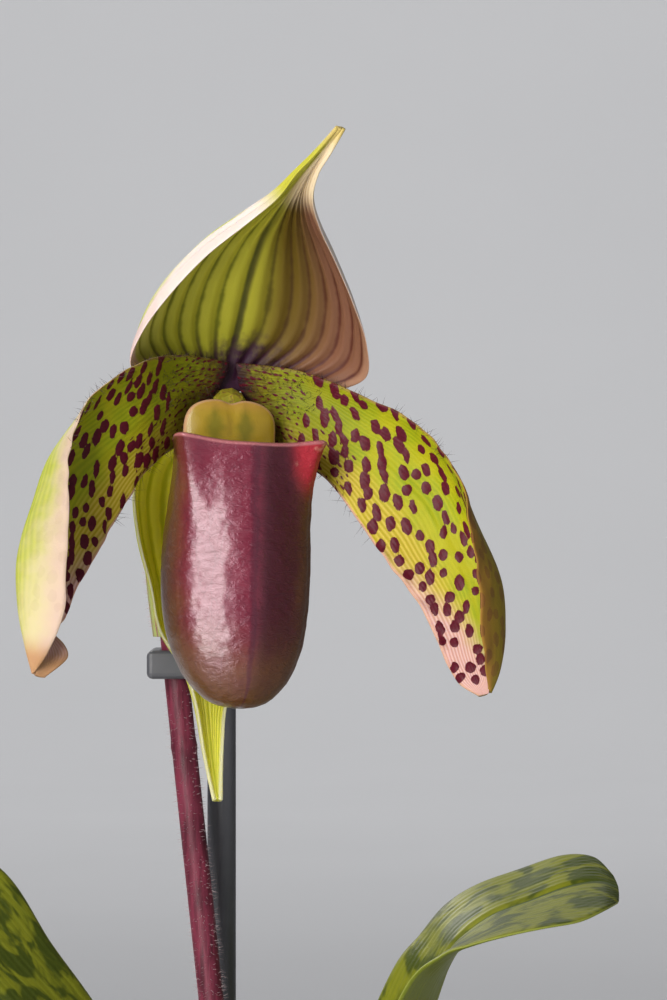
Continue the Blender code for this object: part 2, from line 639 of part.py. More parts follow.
def build_pot(finish):
    lip_foot = POT_HEIGHT - POT_LIP_DEPTH
    ease = POT_EDGE / 2
    outside = [
        (0, 0), (POT_FOOT_RADIUS - POT_EDGE, 0), (POT_FOOT_RADIUS, POT_EDGE),
        (pot_radius(lip_foot), lip_foot), (POT_RIM_RADIUS, lip_foot + ease),
        (POT_RIM_RADIUS, POT_HEIGHT - ease), (POT_RIM_RADIUS - ease, POT_HEIGHT),
    ]
    inside = [(pot_radius(height) - POT_WALL, height) for height in (POT_HEIGHT, POT_FLOOR)]
    pot = lathe("pot", [*outside, *inside, (0, POT_FLOOR)], POT_SIDES, finish)
    for k in range(DRAIN_HOLES):
        turn = 2 * math.pi * (k + 0.4) / DRAIN_HOLES
        at = (DRAIN_CIRCLE * math.cos(turn), DRAIN_CIRCLE * math.sin(turn))
        join(pot, cylinder(DRAIN_RADIUS, -POT_FLOOR, 2 * POT_FLOOR, at), "DIFFERENCE")


def root_tubes(grow):
    """The crown's roots: each leaves its underside and bends down into the bark."""
    foot = np.array(CROWN) - (0, 0, CROWN_DEPTH * 0.6)
    radii = np.linspace(ROOT_RADIUS, ROOT_RADIUS * 0.6, ROOT_RINGS) + grow * 1.2
    for k in range(ROOTS):
        turn = 2 * math.pi * (k + 0.4) / ROOTS
        way = np.array([math.cos(turn), math.sin(turn), 0.0])
        end = foot + way * ROOT_SPREAD - (0, 0, ROOT_LENGTH)
        bends = (foot + way * ROOT_SPREAD * 0.6 - (0, 0, 8), end + way * 6 + (0, 0, ROOT_LENGTH / 2))
        path = bezier(foot, *bends, end, ROOT_RINGS)
        path[-1] += unit(path[-1] - path[-2]) * grow * 1.3
        yield tube_points(path, radii, ROOT_SIDES)


def build_crown(name, finish, grow=0.0):
    """The short rhizome with its roots. Grown by the gap and open above, it hollows out the bark."""
    low, top = CROWN.z - CROWN_DEPTH - grow, CROWN.z
    radius = CROWN_RADIUS + grow
    profile = [(0, low), (radius * 0.7, low), (radius, low + 1.5)]
    if grow:
        over = BARK_TOP + CUT_ABOVE
        profile += [(radius, top), (radius + CROWN_DEPTH, over), (0, over)]
    else:
        profile += [(radius, top - 0.8), (radius - 0.6, top), (0, top)]
    crown = lathe(name, profile, CROWN_SIDES, finish)
    crown.data.transform(Matrix.Translation(Vector((CROWN.x, CROWN.y, 0)) * MM))
    for points, faces in root_tubes(grow):
        join(crown, new_object("root", points, faces, finish), "UNION")
    return crown


def bark_chip(rng, k, farthest):
    """One chip of bark as a tilted block, placed on a sunflower spiral over the bed."""
    reach = farthest * math.sqrt((k + 0.5) / BARK_CHIPS)
    turn = k * math.pi * (3 - math.sqrt(5))
    size = Vector([rng.uniform(*span) for span in CHIP_SPANS])
    reach = min(reach, farthest - size.length / 2)
    height = BARK_TOP - CHIP_RELIEF + rng.uniform(-0.3, 1.1)
    place = Vector((reach * math.cos(turn), reach * math.sin(turn), height))
    tilts = [Matrix.Rotation(rng.uniform(-CHIP_TILT, CHIP_TILT), 4, axis) for axis in "XY"]
    spin = Matrix.Rotation(rng.uniform(0, math.pi), 4, "Z")
    bpy.ops.mesh.primitive_cube_add(size=MM)
    chip = bpy.context.object
    turned = spin @ tilts[0] @ tilts[1] @ Matrix.Diagonal((*size, 1))
    chip.data.transform(Matrix.Translation(place * MM) @ turned)
    return chip


def build_bark(finish):
    """The filling: one solid with chips standing out of its top and plain holes for what stands in it."""
    wall = POT_WALL + GAP
    bed = BARK_TOP - CHIP_RELIEF
    under = POT_FLOOR + GAP
    profile = [(0, under), (pot_radius(under) - wall, under), (pot_radius(bed) - wall, bed), (0, bed + 1)]
    bark = lathe("bark", profile, POT_SIDES, finish)
    chips = bpy.data.collections.new("chips")
    rng = random.Random(SEED)
    for k in range(BARK_CHIPS):
        chip = bark_chip(rng, k, pot_radius(bed) - wall - GAP)
        bpy.context.collection.objects.unlink(chip)
        chips.objects.link(chip)
    union = bark.modifiers.new("chips", "BOOLEAN")
    union.operation = "UNION"
    union.operand_type = "COLLECTION"
    union.collection = chips
    union.solver = "EXACT"
    apply_modifiers(bark)
    for chip in list(chips.objects):
        bpy.data.objects.remove(chip)
    bpy.data.collections.remove(chips)
    join(bark, build_crown("crown_room", finish, GAP), "DIFFERENCE")
    stake_hole = cylinder(STAKE_RADIUS + GAP, STAKE_FOOT - GAP, BARK_TOP + CUT_ABOVE, STAKE_AT)
    join(bark, stake_hole, "DIFFERENCE")
    dress(bark, finish)


def main():
    clear_scene()
    petal_green = material("petal", (0.36, 0.42, 0.05), 0.45)
    sepal_green = material("sepal", (0.42, 0.48, 0.12), 0.5)
    maroon = material("pouch", (0.16, 0.03, 0.03), 0.25)
    shield = material("shield", (0.45, 0.35, 0.05), 0.35)
    leaf_green = material("leaf", (0.10, 0.22, 0.04), 0.4)
    plum = material("stem", (0.20, 0.04, 0.07), 0.5)
    grey = material("support", (0.09, 0.09, 0.11), 0.4)
    clay = material("pot", (0.045, 0.047, 0.05), 0.5)
    brown = material("bark", (0.14, 0.07, 0.035), 0.85)
    root_brown = material("root", (0.22, 0.13, 0.07), 0.9)

    bloom_blade("dorsal_sepal", both_halves(DORSAL), DORSAL_MESH, sepal_green, lip=DORSAL_LIP)
    bloom_blade("synsepal", both_halves(SYNSEPAL), SYNSEPAL_MESH, sepal_green)
    bloom_blade("petal_right", PETAL, PETAL_MESH, petal_green)
    bloom_blade("petal_left", left_petal(), PETAL_MESH, petal_green, mirror=True)
    build_pouch(maroon)
    build_column(shield)
    build_staminode(shield)
    build_ovary(plum)
    build_bract(leaf_green)
    build_scape(plum)
    build_clip(grey)
    build_stake(grey)
    build_leaves(leaf_green)
    build_crown("crown_and_roots", root_brown)
    build_bark(brown)
    build_pot(clay)


main()
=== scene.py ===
# %% [markdown]
# # A slipper orchid in its pot
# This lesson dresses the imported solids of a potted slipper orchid. The solids hold the true sizes and
# stay in place. Each living piece is drawn again here over the same outline, with a finer mesh, its
# veins and spots, and a finish made of shader nodes. Sizes are in millimetres until a mesh is made.

import math
import random

import bmesh
import bpy
import numpy as np
from mathutils import Matrix, Vector, noise


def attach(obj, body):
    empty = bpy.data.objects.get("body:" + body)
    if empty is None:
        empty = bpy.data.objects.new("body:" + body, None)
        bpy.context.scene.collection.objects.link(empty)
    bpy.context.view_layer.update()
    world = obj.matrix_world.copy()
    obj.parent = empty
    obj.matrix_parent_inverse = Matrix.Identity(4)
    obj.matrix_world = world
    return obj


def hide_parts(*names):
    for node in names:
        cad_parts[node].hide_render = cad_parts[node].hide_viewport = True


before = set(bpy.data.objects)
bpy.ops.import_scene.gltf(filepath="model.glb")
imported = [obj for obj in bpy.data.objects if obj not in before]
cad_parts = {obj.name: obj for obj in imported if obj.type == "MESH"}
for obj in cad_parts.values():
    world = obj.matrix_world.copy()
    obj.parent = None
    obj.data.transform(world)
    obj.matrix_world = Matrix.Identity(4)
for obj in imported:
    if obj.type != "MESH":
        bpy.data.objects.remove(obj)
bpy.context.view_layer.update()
MM = 0.001


# %% [markdown]
# ## Shader maths in plain Python
# A finish is a web of small nodes. Writing the maths as Python expressions keeps it readable: a
# Reading stands for a socket, and +, - or * on it adds a Math node. Every other node comes from one
# method, which takes the node's type, its settings and what goes into its sockets.


# %% A socket that takes part in arithmetic
class Reading:
    def __init__(self, graph, socket):
        self.graph, self.socket = graph, socket

    def maths(self, operation, *others):
        return self.graph.node("ShaderNodeMath", {"operation": operation}, dict(enumerate(others)))

    def output(self, name):
        return Reading(self.graph, self.socket.node.outputs[name])

    def __add__(self, other):
        return self.maths("ADD", self, other)

    def __sub__(self, other):
        return self.maths("SUBTRACT", self, other)

    def __rsub__(self, other):
        return self.maths("SUBTRACT", other, self)

    def __mul__(self, other):
        return self.maths("MULTIPLY", self, other)

    def __abs__(self):
        return self.maths("ABSOLUTE", self)

    __radd__ = __add__
    __rmul__ = __mul__


# %% A graph of nodes, for finishes and for geometry
class Graph:
    def __init__(self, tree):
        self.tree = tree

    def node(self, kind, settings=None, sockets=None, out=0):
        made = self.tree.nodes.new(kind)
        for name, value in (settings or {}).items():
            if name == "stops":
                self.fill_ramp(made.color_ramp, value)
            else:
                setattr(made, name, value)
        for name, value in (sockets or {}).items():
            if isinstance(value, Reading):
                self.tree.links.new(value.socket, made.inputs[name])
            else:
                made.inputs[name].default_value = value
        return Reading(self, made.outputs[out])

    def fill_ramp(self, ramp, stops):
        while len(ramp.elements) < len(stops):
            ramp.elements.new(0.5)
        for element, (position, color) in zip(ramp.elements, stops):
            element.position, element.color = position, (*color, 1.0)


# %% A finish: one Principled material with words for the patterns used on this plant
class Finish(Graph):
    def __init__(self, name, **constants):
        self.material = bpy.data.materials.new(name)
        self.material.use_nodes = True
        super().__init__(self.material.node_tree)
        self.shader = self.tree.nodes["Principled BSDF"]
        for key, value in constants.items():
            self.shader.inputs[key.replace("_", " ")].default_value = value

    def wear(self, socket, reading):
        self.tree.links.new(reading.socket, self.shader.inputs[socket])

    def marks(self, names):
        """Readings of the numbers that the mesh carries at each point, by their names."""
        kind = "ShaderNodeAttribute"
        return [self.node(kind, {"attribute_name": name}, out="Fac") for name in names.split()]

    def place(self):
        return self.node("ShaderNodeTexCoord", out="Object")

    def vector(self, x, y, z=0.0):
        return self.node("ShaderNodeCombineXYZ", None, {0: x, 1: y, 2: z})

    def stretched(self, scale):
        """The object's own coordinates, stretched by a different amount along each axis."""
        return self.node("ShaderNodeMapping", None, {"Vector": self.place(), "Scale": scale})

    def noise(self, size_mm, detail=3.0, where=None, rough=0.5, warp=0.0):
        """Smooth random values from 0 to 1 whose blotches are about size_mm across."""
        scale = 1 / size_mm if where is not None else 1 / (size_mm * MM)
        sockets = {"Scale": scale, "Detail": detail, "Roughness": rough, "Distortion": warp}
        sockets["Vector"] = where if where is not None else self.place()
        return self.node("ShaderNodeTexNoise", None, sockets)

    def sway(self, size_mm, amount, detail=3.0):
        """Noise about zero, to make the step between two colours waver."""
        return (self.noise(size_mm, detail) - 0.5) * amount

    def lines(self, count):
        """0 on every whole number of count and 1 halfway between two of them."""
        return self.node("ShaderNodeMath", {"operation": "PINGPONG"}, {0: count, 1: 0.5}) * 2.0

    def between(self, value, low, high):
        """0 below low, 1 above high and a soft step in between; low may be the greater one."""
        return self.node(
            "ShaderNodeMapRange", {"interpolation_type": "SMOOTHSTEP"},
            {"Value": value, "From Min": low, "From Max": high},
        )

    def ramp(self, value, stops):
        return self.node("ShaderNodeValToRGB", {"stops": stops}, {0: value})

    def blend(self, share, first, second):
        """The first colour where share is 0 and the second where it is 1."""
        first, second = ((*c, 1.0) if isinstance(c, tuple) else c for c in (first, second))
        return self.node("ShaderNodeMix", {"data_type": "RGBA"}, {0: share, 6: first, 7: second}, out=2)

    def bump(self, height, depth_mm, under=None):
        sockets = {"Height": height, "Distance": depth_mm * MM, "Strength": 1.0}
        if under is not None:
            sockets["Normal"] = under
        return self.node("ShaderNodeBump", None, sockets)

    def fine_grain(self, low, spread, size_mm, depth_mm):
        """A surface whose roughness varies from low by spread, with a fine bump."""
        self.wear("Roughness", low + self.noise(0.8) * spread)
        self.wear("Normal", self.bump(self.noise(size_mm, 4.0), depth_mm))


# %% [markdown]
# ## The camera and the light
# The photograph was taken level with the bloom. The stage is plain: a pale floor that sweeps up into
# a wall far behind, a large soft key light in front on the left, a weak fill, one light behind that
# shines through the petals, and one for the wall. The surroundings give little light, but the camera
# sees them paler than that, so that a view past the wall's edge stays plain.

# %% Camera
CAMERA_AT = (0.0, -0.78, 0.25)
scene = bpy.context.scene
camera = bpy.data.objects.new("camera", bpy.data.cameras.new("camera"))
camera.data.lens = 163.1
camera.data.sensor_width = 36.0
camera.data.clip_end = 20.0
camera.location = CAMERA_AT
camera.rotation_euler = (math.pi / 2, 0.0, 0.0)
scene.collection.objects.link(camera)
scene.camera = camera
print("camera at", CAMERA_AT, "in metres, with a lens of", round(camera.data.lens, 1), "mm")


# %% Lights
BLOOM_MIDDLE = (-0.017, -0.03, 0.25)
WALL_FOOT = (0.0, 4.2, 0.2)
GLOW = 0.14
GLOW_SEEN = 0.50


def soft_light(name, at, towards, size, watts, color=(1.0, 1.0, 1.0)):
    light = bpy.data.lights.new(name, "AREA")
    light.shape, light.energy, light.color = "RECTANGLE", watts, color
    light.size, light.size_y = size
    lamp = bpy.data.objects.new(name, light)
    lamp.location = at
    lamp.rotation_euler = (Vector(towards) - Vector(at)).to_track_quat("-Z", "Y").to_euler()
    scene.collection.objects.link(lamp)


soft_light("key", (-0.50, -0.97, 0.52), BLOOM_MIDDLE, (0.44, 0.85), 15.0, (1.0, 0.97, 0.93))
soft_light("fill", (0.8, -0.7, 0.35), BLOOM_MIDDLE, (0.9, 0.9), 0.9, (0.95, 0.97, 1.0))
soft_light("back", (-0.45, 0.7, 0.75), BLOOM_MIDDLE, (0.4, 0.4), 3.0, (1.0, 0.98, 0.94))
soft_light("backdrop", (0.0, 2.6, 2.8), WALL_FOOT, (3.0, 2.4), 50.0)
world = bpy.data.worlds.new("studio")
world.use_nodes = True
background = world.node_tree.nodes["Background"]
background.inputs["Color"].default_value = (0.75, 0.78, 0.85, 1.0)
sky = Graph(world.node_tree)
strength = sky.node("ShaderNodeLightPath", out="Is Camera Ray") * GLOW_SEEN + GLOW
sky.tree.links.new(strength.socket, background.inputs["Strength"])
scene.world = world
scene.view_settings.view_transform = "Standard"


# %% Floor that sweeps up behind
FLOOR_FRONT = -1.2
FLOOR_HALF_WIDTH = 1.6
WALL_AT = 4.6
WALL_HEIGHT = 4.5
SWEEP_RADIUS = 1.5


def sweep_profile(count=16):
    """Points (y, z) of a floor that turns up into a wall, in metres."""
    turn = [math.pi / 2 * k / count for k in range(count + 1)]
    start = WALL_AT - SWEEP_RADIUS
    bend = [(start + SWEEP_RADIUS * math.sin(t), SWEEP_RADIUS - SWEEP_RADIUS * math.cos(t)) for t in turn]
    return [(FLOOR_FRONT, 0.0), *bend, (WALL_AT, WALL_HEIGHT)]


profile = sweep_profile()
points = [(x, y, z) for y, z in profile for x in (-FLOOR_HALF_WIDTH, FLOOR_HALF_WIDTH)]
strips = [(k, k + 1, k + 3, k + 2) for k in range(0, len(points) - 2, 2)]
floor_mesh = bpy.data.meshes.new("floor")
floor_mesh.from_pydata(points, [], strips)
floor_mesh.shade_smooth()
floor = bpy.data.objects.new("floor", floor_mesh)
scene.collection.objects.link(floor)
paper = Finish("studio_paper", Roughness=0.9)
paper.wear("Base Color", paper.blend(paper.noise(300), (0.74, 0.74, 0.75), (0.78, 0.78, 0.79)))
floor_mesh.materials.append(paper.material)
print("floor and wall:", len(strips), "strips")

# %% [markdown]
# ## Blades: petals, sepals and leaves
# A petal is a thin curved sheet. It could be sculpted, or cut from a plane and bent, but then it
# would stray from the solid below it. Here rows of five control points lie across the blade, the
# same as in the solid: far margin, far shoulder, midrib, near shoulder and near margin. A smooth
# curve runs through the rows, and each half of a row bends towards its shoulder.


# %% Curves and rows
def through(values, steps):
    """Catmull-Rom through evenly numbered values, read at steps from 0 to 1."""
    rows = np.asarray(values, float)
    last = len(rows) - 1
    at = np.clip(np.asarray(steps, float) * last, 0, last - 1e-9)
    i = at.astype(int)
    f = (at - i).reshape(-1, *[1] * (rows.ndim - 1))
    a, b, c, d = (rows[np.clip(i + k, 0, last)] for k in (-1, 0, 1, 2))
    return b + 0.5 * f * (c - a + f * (2 * a - 5 * b + 4 * c - d + f * (3 * (b - c) + d - a)))


def unit(vectors):
    return vectors / np.maximum(np.linalg.norm(vectors, axis=-1, keepdims=True), 1e-12)


def smooth(values, low, high):
    t = np.clip((np.asarray(values, float) - low) / (high - low), 0, 1)
    return t * t * (3 - 2 * t)


def band(values, rise, fall):
    """Rises from 0 to 1 over the first stretch of values and falls back over the second."""
    return smooth(values, *rise) * (1 - smooth(values, *fall))


def half_row(shoulder, margin, middle, shares):
    t = shares[:, None]
    return middle * (1 - t) ** 2 + 2 * shoulder * t * (1 - t) + margin * t * t


def run_along(path):
    """How far along the path each of its points lies."""
    return np.concatenate([[0], np.cumsum(np.linalg.norm(np.diff(path, axis=0), axis=1))])


def normals_of(grid):
    return unit(np.cross(np.gradient(grid, axis=1), np.gradient(grid, axis=0)))


# %% A blade as a grid of points with its own coordinates
LIP_FROM = 0.74


class Blade:
    """A curved sheet: grid points and normals, and how far along and across each point lies."""

    def __init__(self, rows, row_count, half_columns, lip=None, flip=1):
        steps = np.linspace(0, 1, row_count)
        columns = np.linspace(-1, 1, 2 * half_columns + 1)
        shares = np.linspace(0, 1, half_columns + 1)
        grid = np.empty((row_count, len(columns), 3))
        for i, (far, far_shoulder, middle, near_shoulder, near) in enumerate(through(rows, steps)):
            grid[i, : half_columns + 1] = half_row(far_shoulder, far, middle, shares)[::-1]
            grid[i, half_columns:] = half_row(near_shoulder, near, middle, shares)
        if lip is not None:
            reach = np.clip((np.abs(columns) - LIP_FROM) / (1 - LIP_FROM), 0, 1) ** 2
            grid = grid + normals_of(grid) * through(lip, steps)[:, None, None] * reach[None, :, None]
        self.grid = grid
        self.normals = normals_of(grid) * flip
        across = np.cumsum(np.linalg.norm(np.diff(grid, axis=1), axis=2), axis=1)
        across = np.pad(across, ((0, 0), (1, 0)))
        run = run_along(grid[:, half_columns])
        self.across = across - across[:, half_columns : half_columns + 1]
        self.edge = np.minimum(across, across[:, -1:] - across)
        self.along, self.share, self.way = np.broadcast_arrays(run[:, None], columns, steps[:, None])

    def marks(self, **more):
        """What the mesh carries at each point, for the finish to read."""
        return {name: getattr(self, name) for name in ("along", "across", "edge", "share", "way")} | more

    def offset(self, height):
        """The grid moved along its normals by a height at each point."""
        return self.grid + self.normals * height[..., None]


# %% From grids to a closed mesh that carries its marks
def mesh_from(name, points, faces=(), edges=()):
    """A mesh from points in millimetres."""
    mesh = bpy.data.meshes.new(name)
    mesh.from_pydata((np.asarray(points) * MM).tolist(), edges, faces)
    return mesh


def add_marks(mesh, marks):
    for name, values in marks.items():
        mark = mesh.attributes.new(name, "FLOAT", "POINT")
        mark.data.foreach_set("value", np.asarray(values, np.float32).ravel())


def turn_outwards(mesh):
    shell = bmesh.new()
    shell.from_mesh(mesh)
    bmesh.ops.recalc_face_normals(shell, faces=shell.faces)
    if shell.calc_volume(signed=True) < 0:
        bmesh.ops.reverse_faces(shell, faces=shell.faces)
    shell.to_mesh(mesh)
    shell.free()


def closed_piece(name, points, faces, finish, marks=None):
    """A smooth closed body from points in millimetres, in its finish."""
    mesh = mesh_from(name, points, faces)
    add_marks(mesh, marks or {})
    turn_outwards(mesh)
    mesh.shade_smooth()
    mesh.materials.append(finish.material)
    piece = bpy.data.objects.new(name, mesh)
    scene.collection.objects.link(piece)
    return piece


def closed_sheet(name, front, back, marks, finish):
    """A closed body between a front and a back grid. The mark "face" is 1 in front and 0 behind."""
    rows, columns, _ = front.shape
    under = rows * columns
    faces = []
    for i in range(rows - 1):
        for a in range(i * columns, i * columns + columns - 1):
            b = a + 1
            faces.append((a, b, b + columns, a + columns))
            faces.append((under + a, under + a + columns, under + b + columns, under + b))
    index = np.arange(under).reshape(rows, columns)
    loop = np.concatenate([index[0], index[1:, -1], index[-1, -2::-1], index[-2:0:-1, 0]]).tolist()
    faces += [(b, a, under + a, under + b) for a, b in zip(loop, loop[1:] + loop[:1])]
    both = np.concatenate([front.reshape(-1, 3), back.reshape(-1, 3)])
    doubled = {key: np.concatenate([np.ravel(value)] * 2) for key, value in marks.items()}
    doubled["face"] = np.repeat((1.0, 0.0), under)
    return closed_piece(name, both, faces, finish, doubled)


def half_thickness(blade, thick, rounding=0.12):
    """Half the blade's thickness at each point, easing down to a thin rim."""
    share = np.abs(blade.share)
    body = thick[0] + (thick[1] - thick[0]) * share**2
    rim = np.sqrt(np.clip(1 - (np.clip(share - (1 - rounding), 0, 1) / rounding) ** 2, 0.06, 1))
    return 0.5 * body * rim


def stand_for(piece, slot, *nodes):
    """The finished piece rides on the plant and takes the place of its plain solids."""
    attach(piece, "root")
    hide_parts(*nodes)
    print(piece.name, "stands for", ", ".join(nodes), "with", len(piece.data.polygons), "faces")


# %% [markdown]
# ## The bloom's own frame
# The bloom is drawn facing the viewer, with x to the right, y to the back and z up, and is then
# rolled and turned a little before it is set on the ovary.

# %% Where the bloom sits
BLOOM_AT = np.array((-16.6, -26.0, 266.6))
BLOOM_YAW = 17.0
BLOOM_ROLL = 3.0


def bloom_turn():
    yaw = Matrix.Rotation(math.radians(BLOOM_YAW), 3, "Z")
    return np.array(yaw @ Matrix.Rotation(math.radians(BLOOM_ROLL), 3, "Y"))


def bloom_to_world(points):
    return np.asarray(points, float) @ bloom_turn().T + BLOOM_AT


def noise_at(points, size_mm, seed=0.0):
    """Smooth noise from -1 to 1 at each point."""
    flat = np.asarray(points, float).reshape(-1, 3) / size_mm + seed
    return np.array([noise.noise(p) for p in flat.tolist()]).reshape(np.shape(points)[:-1])


print("bloom at", BLOOM_AT, "mm")


# %% [markdown]
# ## Petals
# Each petal hangs outwards and down. Its front is lime with dark raised spots in loose rows along
# the veins, dense fine dots near the column, a pinkish tip, and painted shade near its base. The back
# is plain: lime on the left petal, and brown on the right one, which is painted shade. The spots are
# placed by a rule: candidates are drawn with a fixed seed, and one is kept when it is far enough from
# those before it.

# %% The petal's rows
PETAL = (
    ((0.6, 2.1, 6.4), (0.9, 2, 4), (3.5, 4.8, -0.6), (3.9, 5, -3.6), (4.4, 4.6, -7)),
    ((10.4, -2.7, 5.4), (10.4, -1.2, 3), (10.2, -1.2, 0.2), (10, -0.2, -4.6), (9.6, 0.8, -8.5)),
    ((18.6, -9.4, 2), (18.6, -6.6, -0.2), (17.6, -6.4, -4.4), (16.6, -5.4, -9.2), (15.4, -4.8, -12.6)),
    ((26.8, -14.6, -2.4), (27.2, -9.6, -4.6), (25, -9.8, -10.6), (23.2, -8.6, -16), (20.8, -8.6, -20)),
    ((32.4, -20.4, -9.6), (34.8, -12, -10), (30.6, -12.8, -17.2), (28.2, -11.8, -22.4), (25, -12.4, -26.6)),
    ((33.6, -26.2, -18.8), (39.8, -15.2, -16.2), (34.2, -16.4, -24.6), (32, -15.4, -29), (28.8, -15.4, -32)),
    (
        (34.4, -30, -28.6), (44.8, -20.4, -24.6), (36.6, -20.4, -31.8),
        (34.4, -19.6, -35), (31, -19.2, -37.6),
    ),
    (
        (34.8, -31.4, -36.6), (44.6, -24.2, -33.4), (37.4, -23.8, -38),
        (35.2, -23.2, -40.6), (32.2, -22.2, -41.8),
    ),
    (
        (36.4, -29.6, -42.2), (41.6, -27.2, -41), (37.8, -26.2, -42.8),
        (36.2, -25.6, -44.2), (33.8, -24.8, -45),
    ),
    (
        (37.9, -27.5, -45.7), (38.3, -27.1, -45.9), (37.8, -27.2, -46.3),
        (37, -27.1, -46.6), (36.3, -26.9, -46.7),
    ),
)
# The points of the left petal that differ, by row and place in the row
LEFT_SHAPE = {
    (1, 0): (10.4, -2.7, 6.8), (2, 0): (18.8, -9.4, 4.8), (3, 0): (27.2, -14.6, -0.6),
    (4, 1): (36.2, -12, -10), (5, 1): (40.6, -15.2, -16.2),
    (6, 3): (34.8, -19.6, -34.8), (6, 4): (31.6, -19.4, -37.4),
    (7, 3): (35.8, -23.4, -40.2), (7, 4): (34.4, -22.4, -39.4), (8, 4): (32.3, -25.6, -43),
}
PETAL_THICK = (0.9, 0.55)
print("petal:", len(PETAL), "rows of five points;", len(LEFT_SHAPE), "points differ on the left one")


# %% The rule for the spots
TOUCHING = 0.62
TOUCHING_SHARE = 0.06
SPOT_TILT = 0.22
SPOT_WOBBLE = 0.22
SPOT_THROUGH = 2.5
OUT_OF_REACH = 9.0
UP = np.array((0.0, 0.0, 1.0))


def throw_spots(blade, rng, tries, gap, size, where):
    """Spot centres: (grid index, long radius, short radius, tilt), kept if clear of those before."""
    kept = []
    rows, columns = blade.share.shape
    for _ in range(tries):
        i, j = rng.randrange(rows), rng.randrange(columns)
        way = blade.way[i, j]
        if rng.random() > where(way, blade.share[i, j], blade.edge[i, j]):
            continue
        here = blade.grid[i, j]
        room = gap(way) * (TOUCHING if rng.random() < TOUCHING_SHARE else 1.0)
        if all(np.linalg.norm(here - blade.grid[a, b]) > room for a, b, *_ in kept):
            long, short = size(way, rng)
            kept.append((i, j, long, short, rng.uniform(-SPOT_TILT, SPOT_TILT)))
    return kept


def depth_into(blade, spots, wobble, upright):
    """For each point, how far it lies outside the nearest spot, in mm and negative inside."""
    depth = np.full(blade.share.shape, OUT_OF_REACH)
    ahead = unit(np.gradient(blade.grid, axis=0))
    for i, j, long, short, tilt in spots:
        normal = blade.normals[i, j]
        lean = upright(blade.way[i, j])
        axis = unit(lean * UP - (1 - lean) * ahead[i, j])
        axis = unit(axis - normal * (axis @ normal))
        side = np.cross(normal, axis)
        c, s = math.cos(tilt), math.sin(tilt)
        axis, side = axis * c + side * s, side * c - axis * s
        away = blade.grid - blade.grid[i, j]
        reach = (away @ axis / long) ** 2 + (away @ side / short) ** 2 + (away @ normal / SPOT_THROUGH) ** 2
        depth = np.minimum(depth, (np.sqrt(reach) - 1) * short + wobble * SPOT_WOBBLE)
    return depth


# %% Spots of one petal
def petal_spots(blade, seed, last_spot):
    rng = random.Random(seed)
    wobble = noise_at(blade.grid, 0.7, seed)
    large = throw_spots(
        blade, rng, 9000,
        gap=lambda way: 3.0 - 0.1 * way,
        size=lambda way, r: (r.uniform(0.95, 1.8) * (1.0 - 0.25 * way), r.uniform(0.6, 0.98)),
        where=lambda way, share, edge: float(0.14 < way < last_spot and (share < 0.0 or edge > 0.5)),
    )
    small = throw_spots(
        blade, rng, 5000,
        gap=lambda way: 0.95,
        size=lambda way, r: (r.uniform(0.25, 0.7), r.uniform(0.14, 0.27)),
        where=lambda way, share, edge: 0.7 if way < 0.13 else (0.4 if way < 0.26 and share > 0.15 else 0.0),
    )
    depth = depth_into(blade, large, wobble, upright=lambda way: 0.92 - 0.6 * way)
    fine = depth_into(blade, small, wobble * 0.4, upright=lambda way: 0.25)
    print("spots:", len(large), "large and", len(small), "fine")
    return np.minimum(depth, fine)


# %% Petal meshes
PETAL_ROWS = 230
PETAL_HALF = 44
VEINS = 13
RIB_HEIGHT = 0.03
SPOT_HEIGHT = 0.13


def petal_piece(name, rows, seed, finish, mirror, last_spot):
    blade = Blade(rows, PETAL_ROWS, PETAL_HALF)
    veins = blade.share * VEINS + noise_at(blade.grid, 9.0, seed + 3) * 0.9
    spot = petal_spots(blade, seed, last_spot)
    margin = smooth(np.abs(blade.share), 0.8, 1.0)
    ripple = noise_at(blade.grid, 3.6, seed + 9) * margin * np.where(blade.share > 0, 1.3, 0.5)
    ripple *= band(blade.way, (0.1, 0.3), (0.85, 0.95))
    ribs = RIB_HEIGHT * np.cos(2 * math.pi * veins) * (1 - margin)
    raised = SPOT_HEIGHT * smooth(-spot, -0.15, 0.45)
    half = half_thickness(blade, PETAL_THICK)
    side = (-1, 1, 1) if mirror else (1, 1, 1)
    front = blade.offset(half + ribs + raised + ripple) * side
    back = blade.offset(-(half + ribs * 0.6 - ripple)) * side
    tan = smooth(blade.way, 0.84, 0.93) if mirror else np.zeros(spot.shape)
    # The mark lit is 1 on the left petal, painted as lit, and 0 on the right one, whose back is painted in
    # shade.
    marks = blade.marks(spot=spot, vein=veins, tan=tan, lit=np.full(spot.shape, float(mirror)))
    return closed_sheet(name, bloom_to_world(front), bloom_to_world(back), marks, finish)


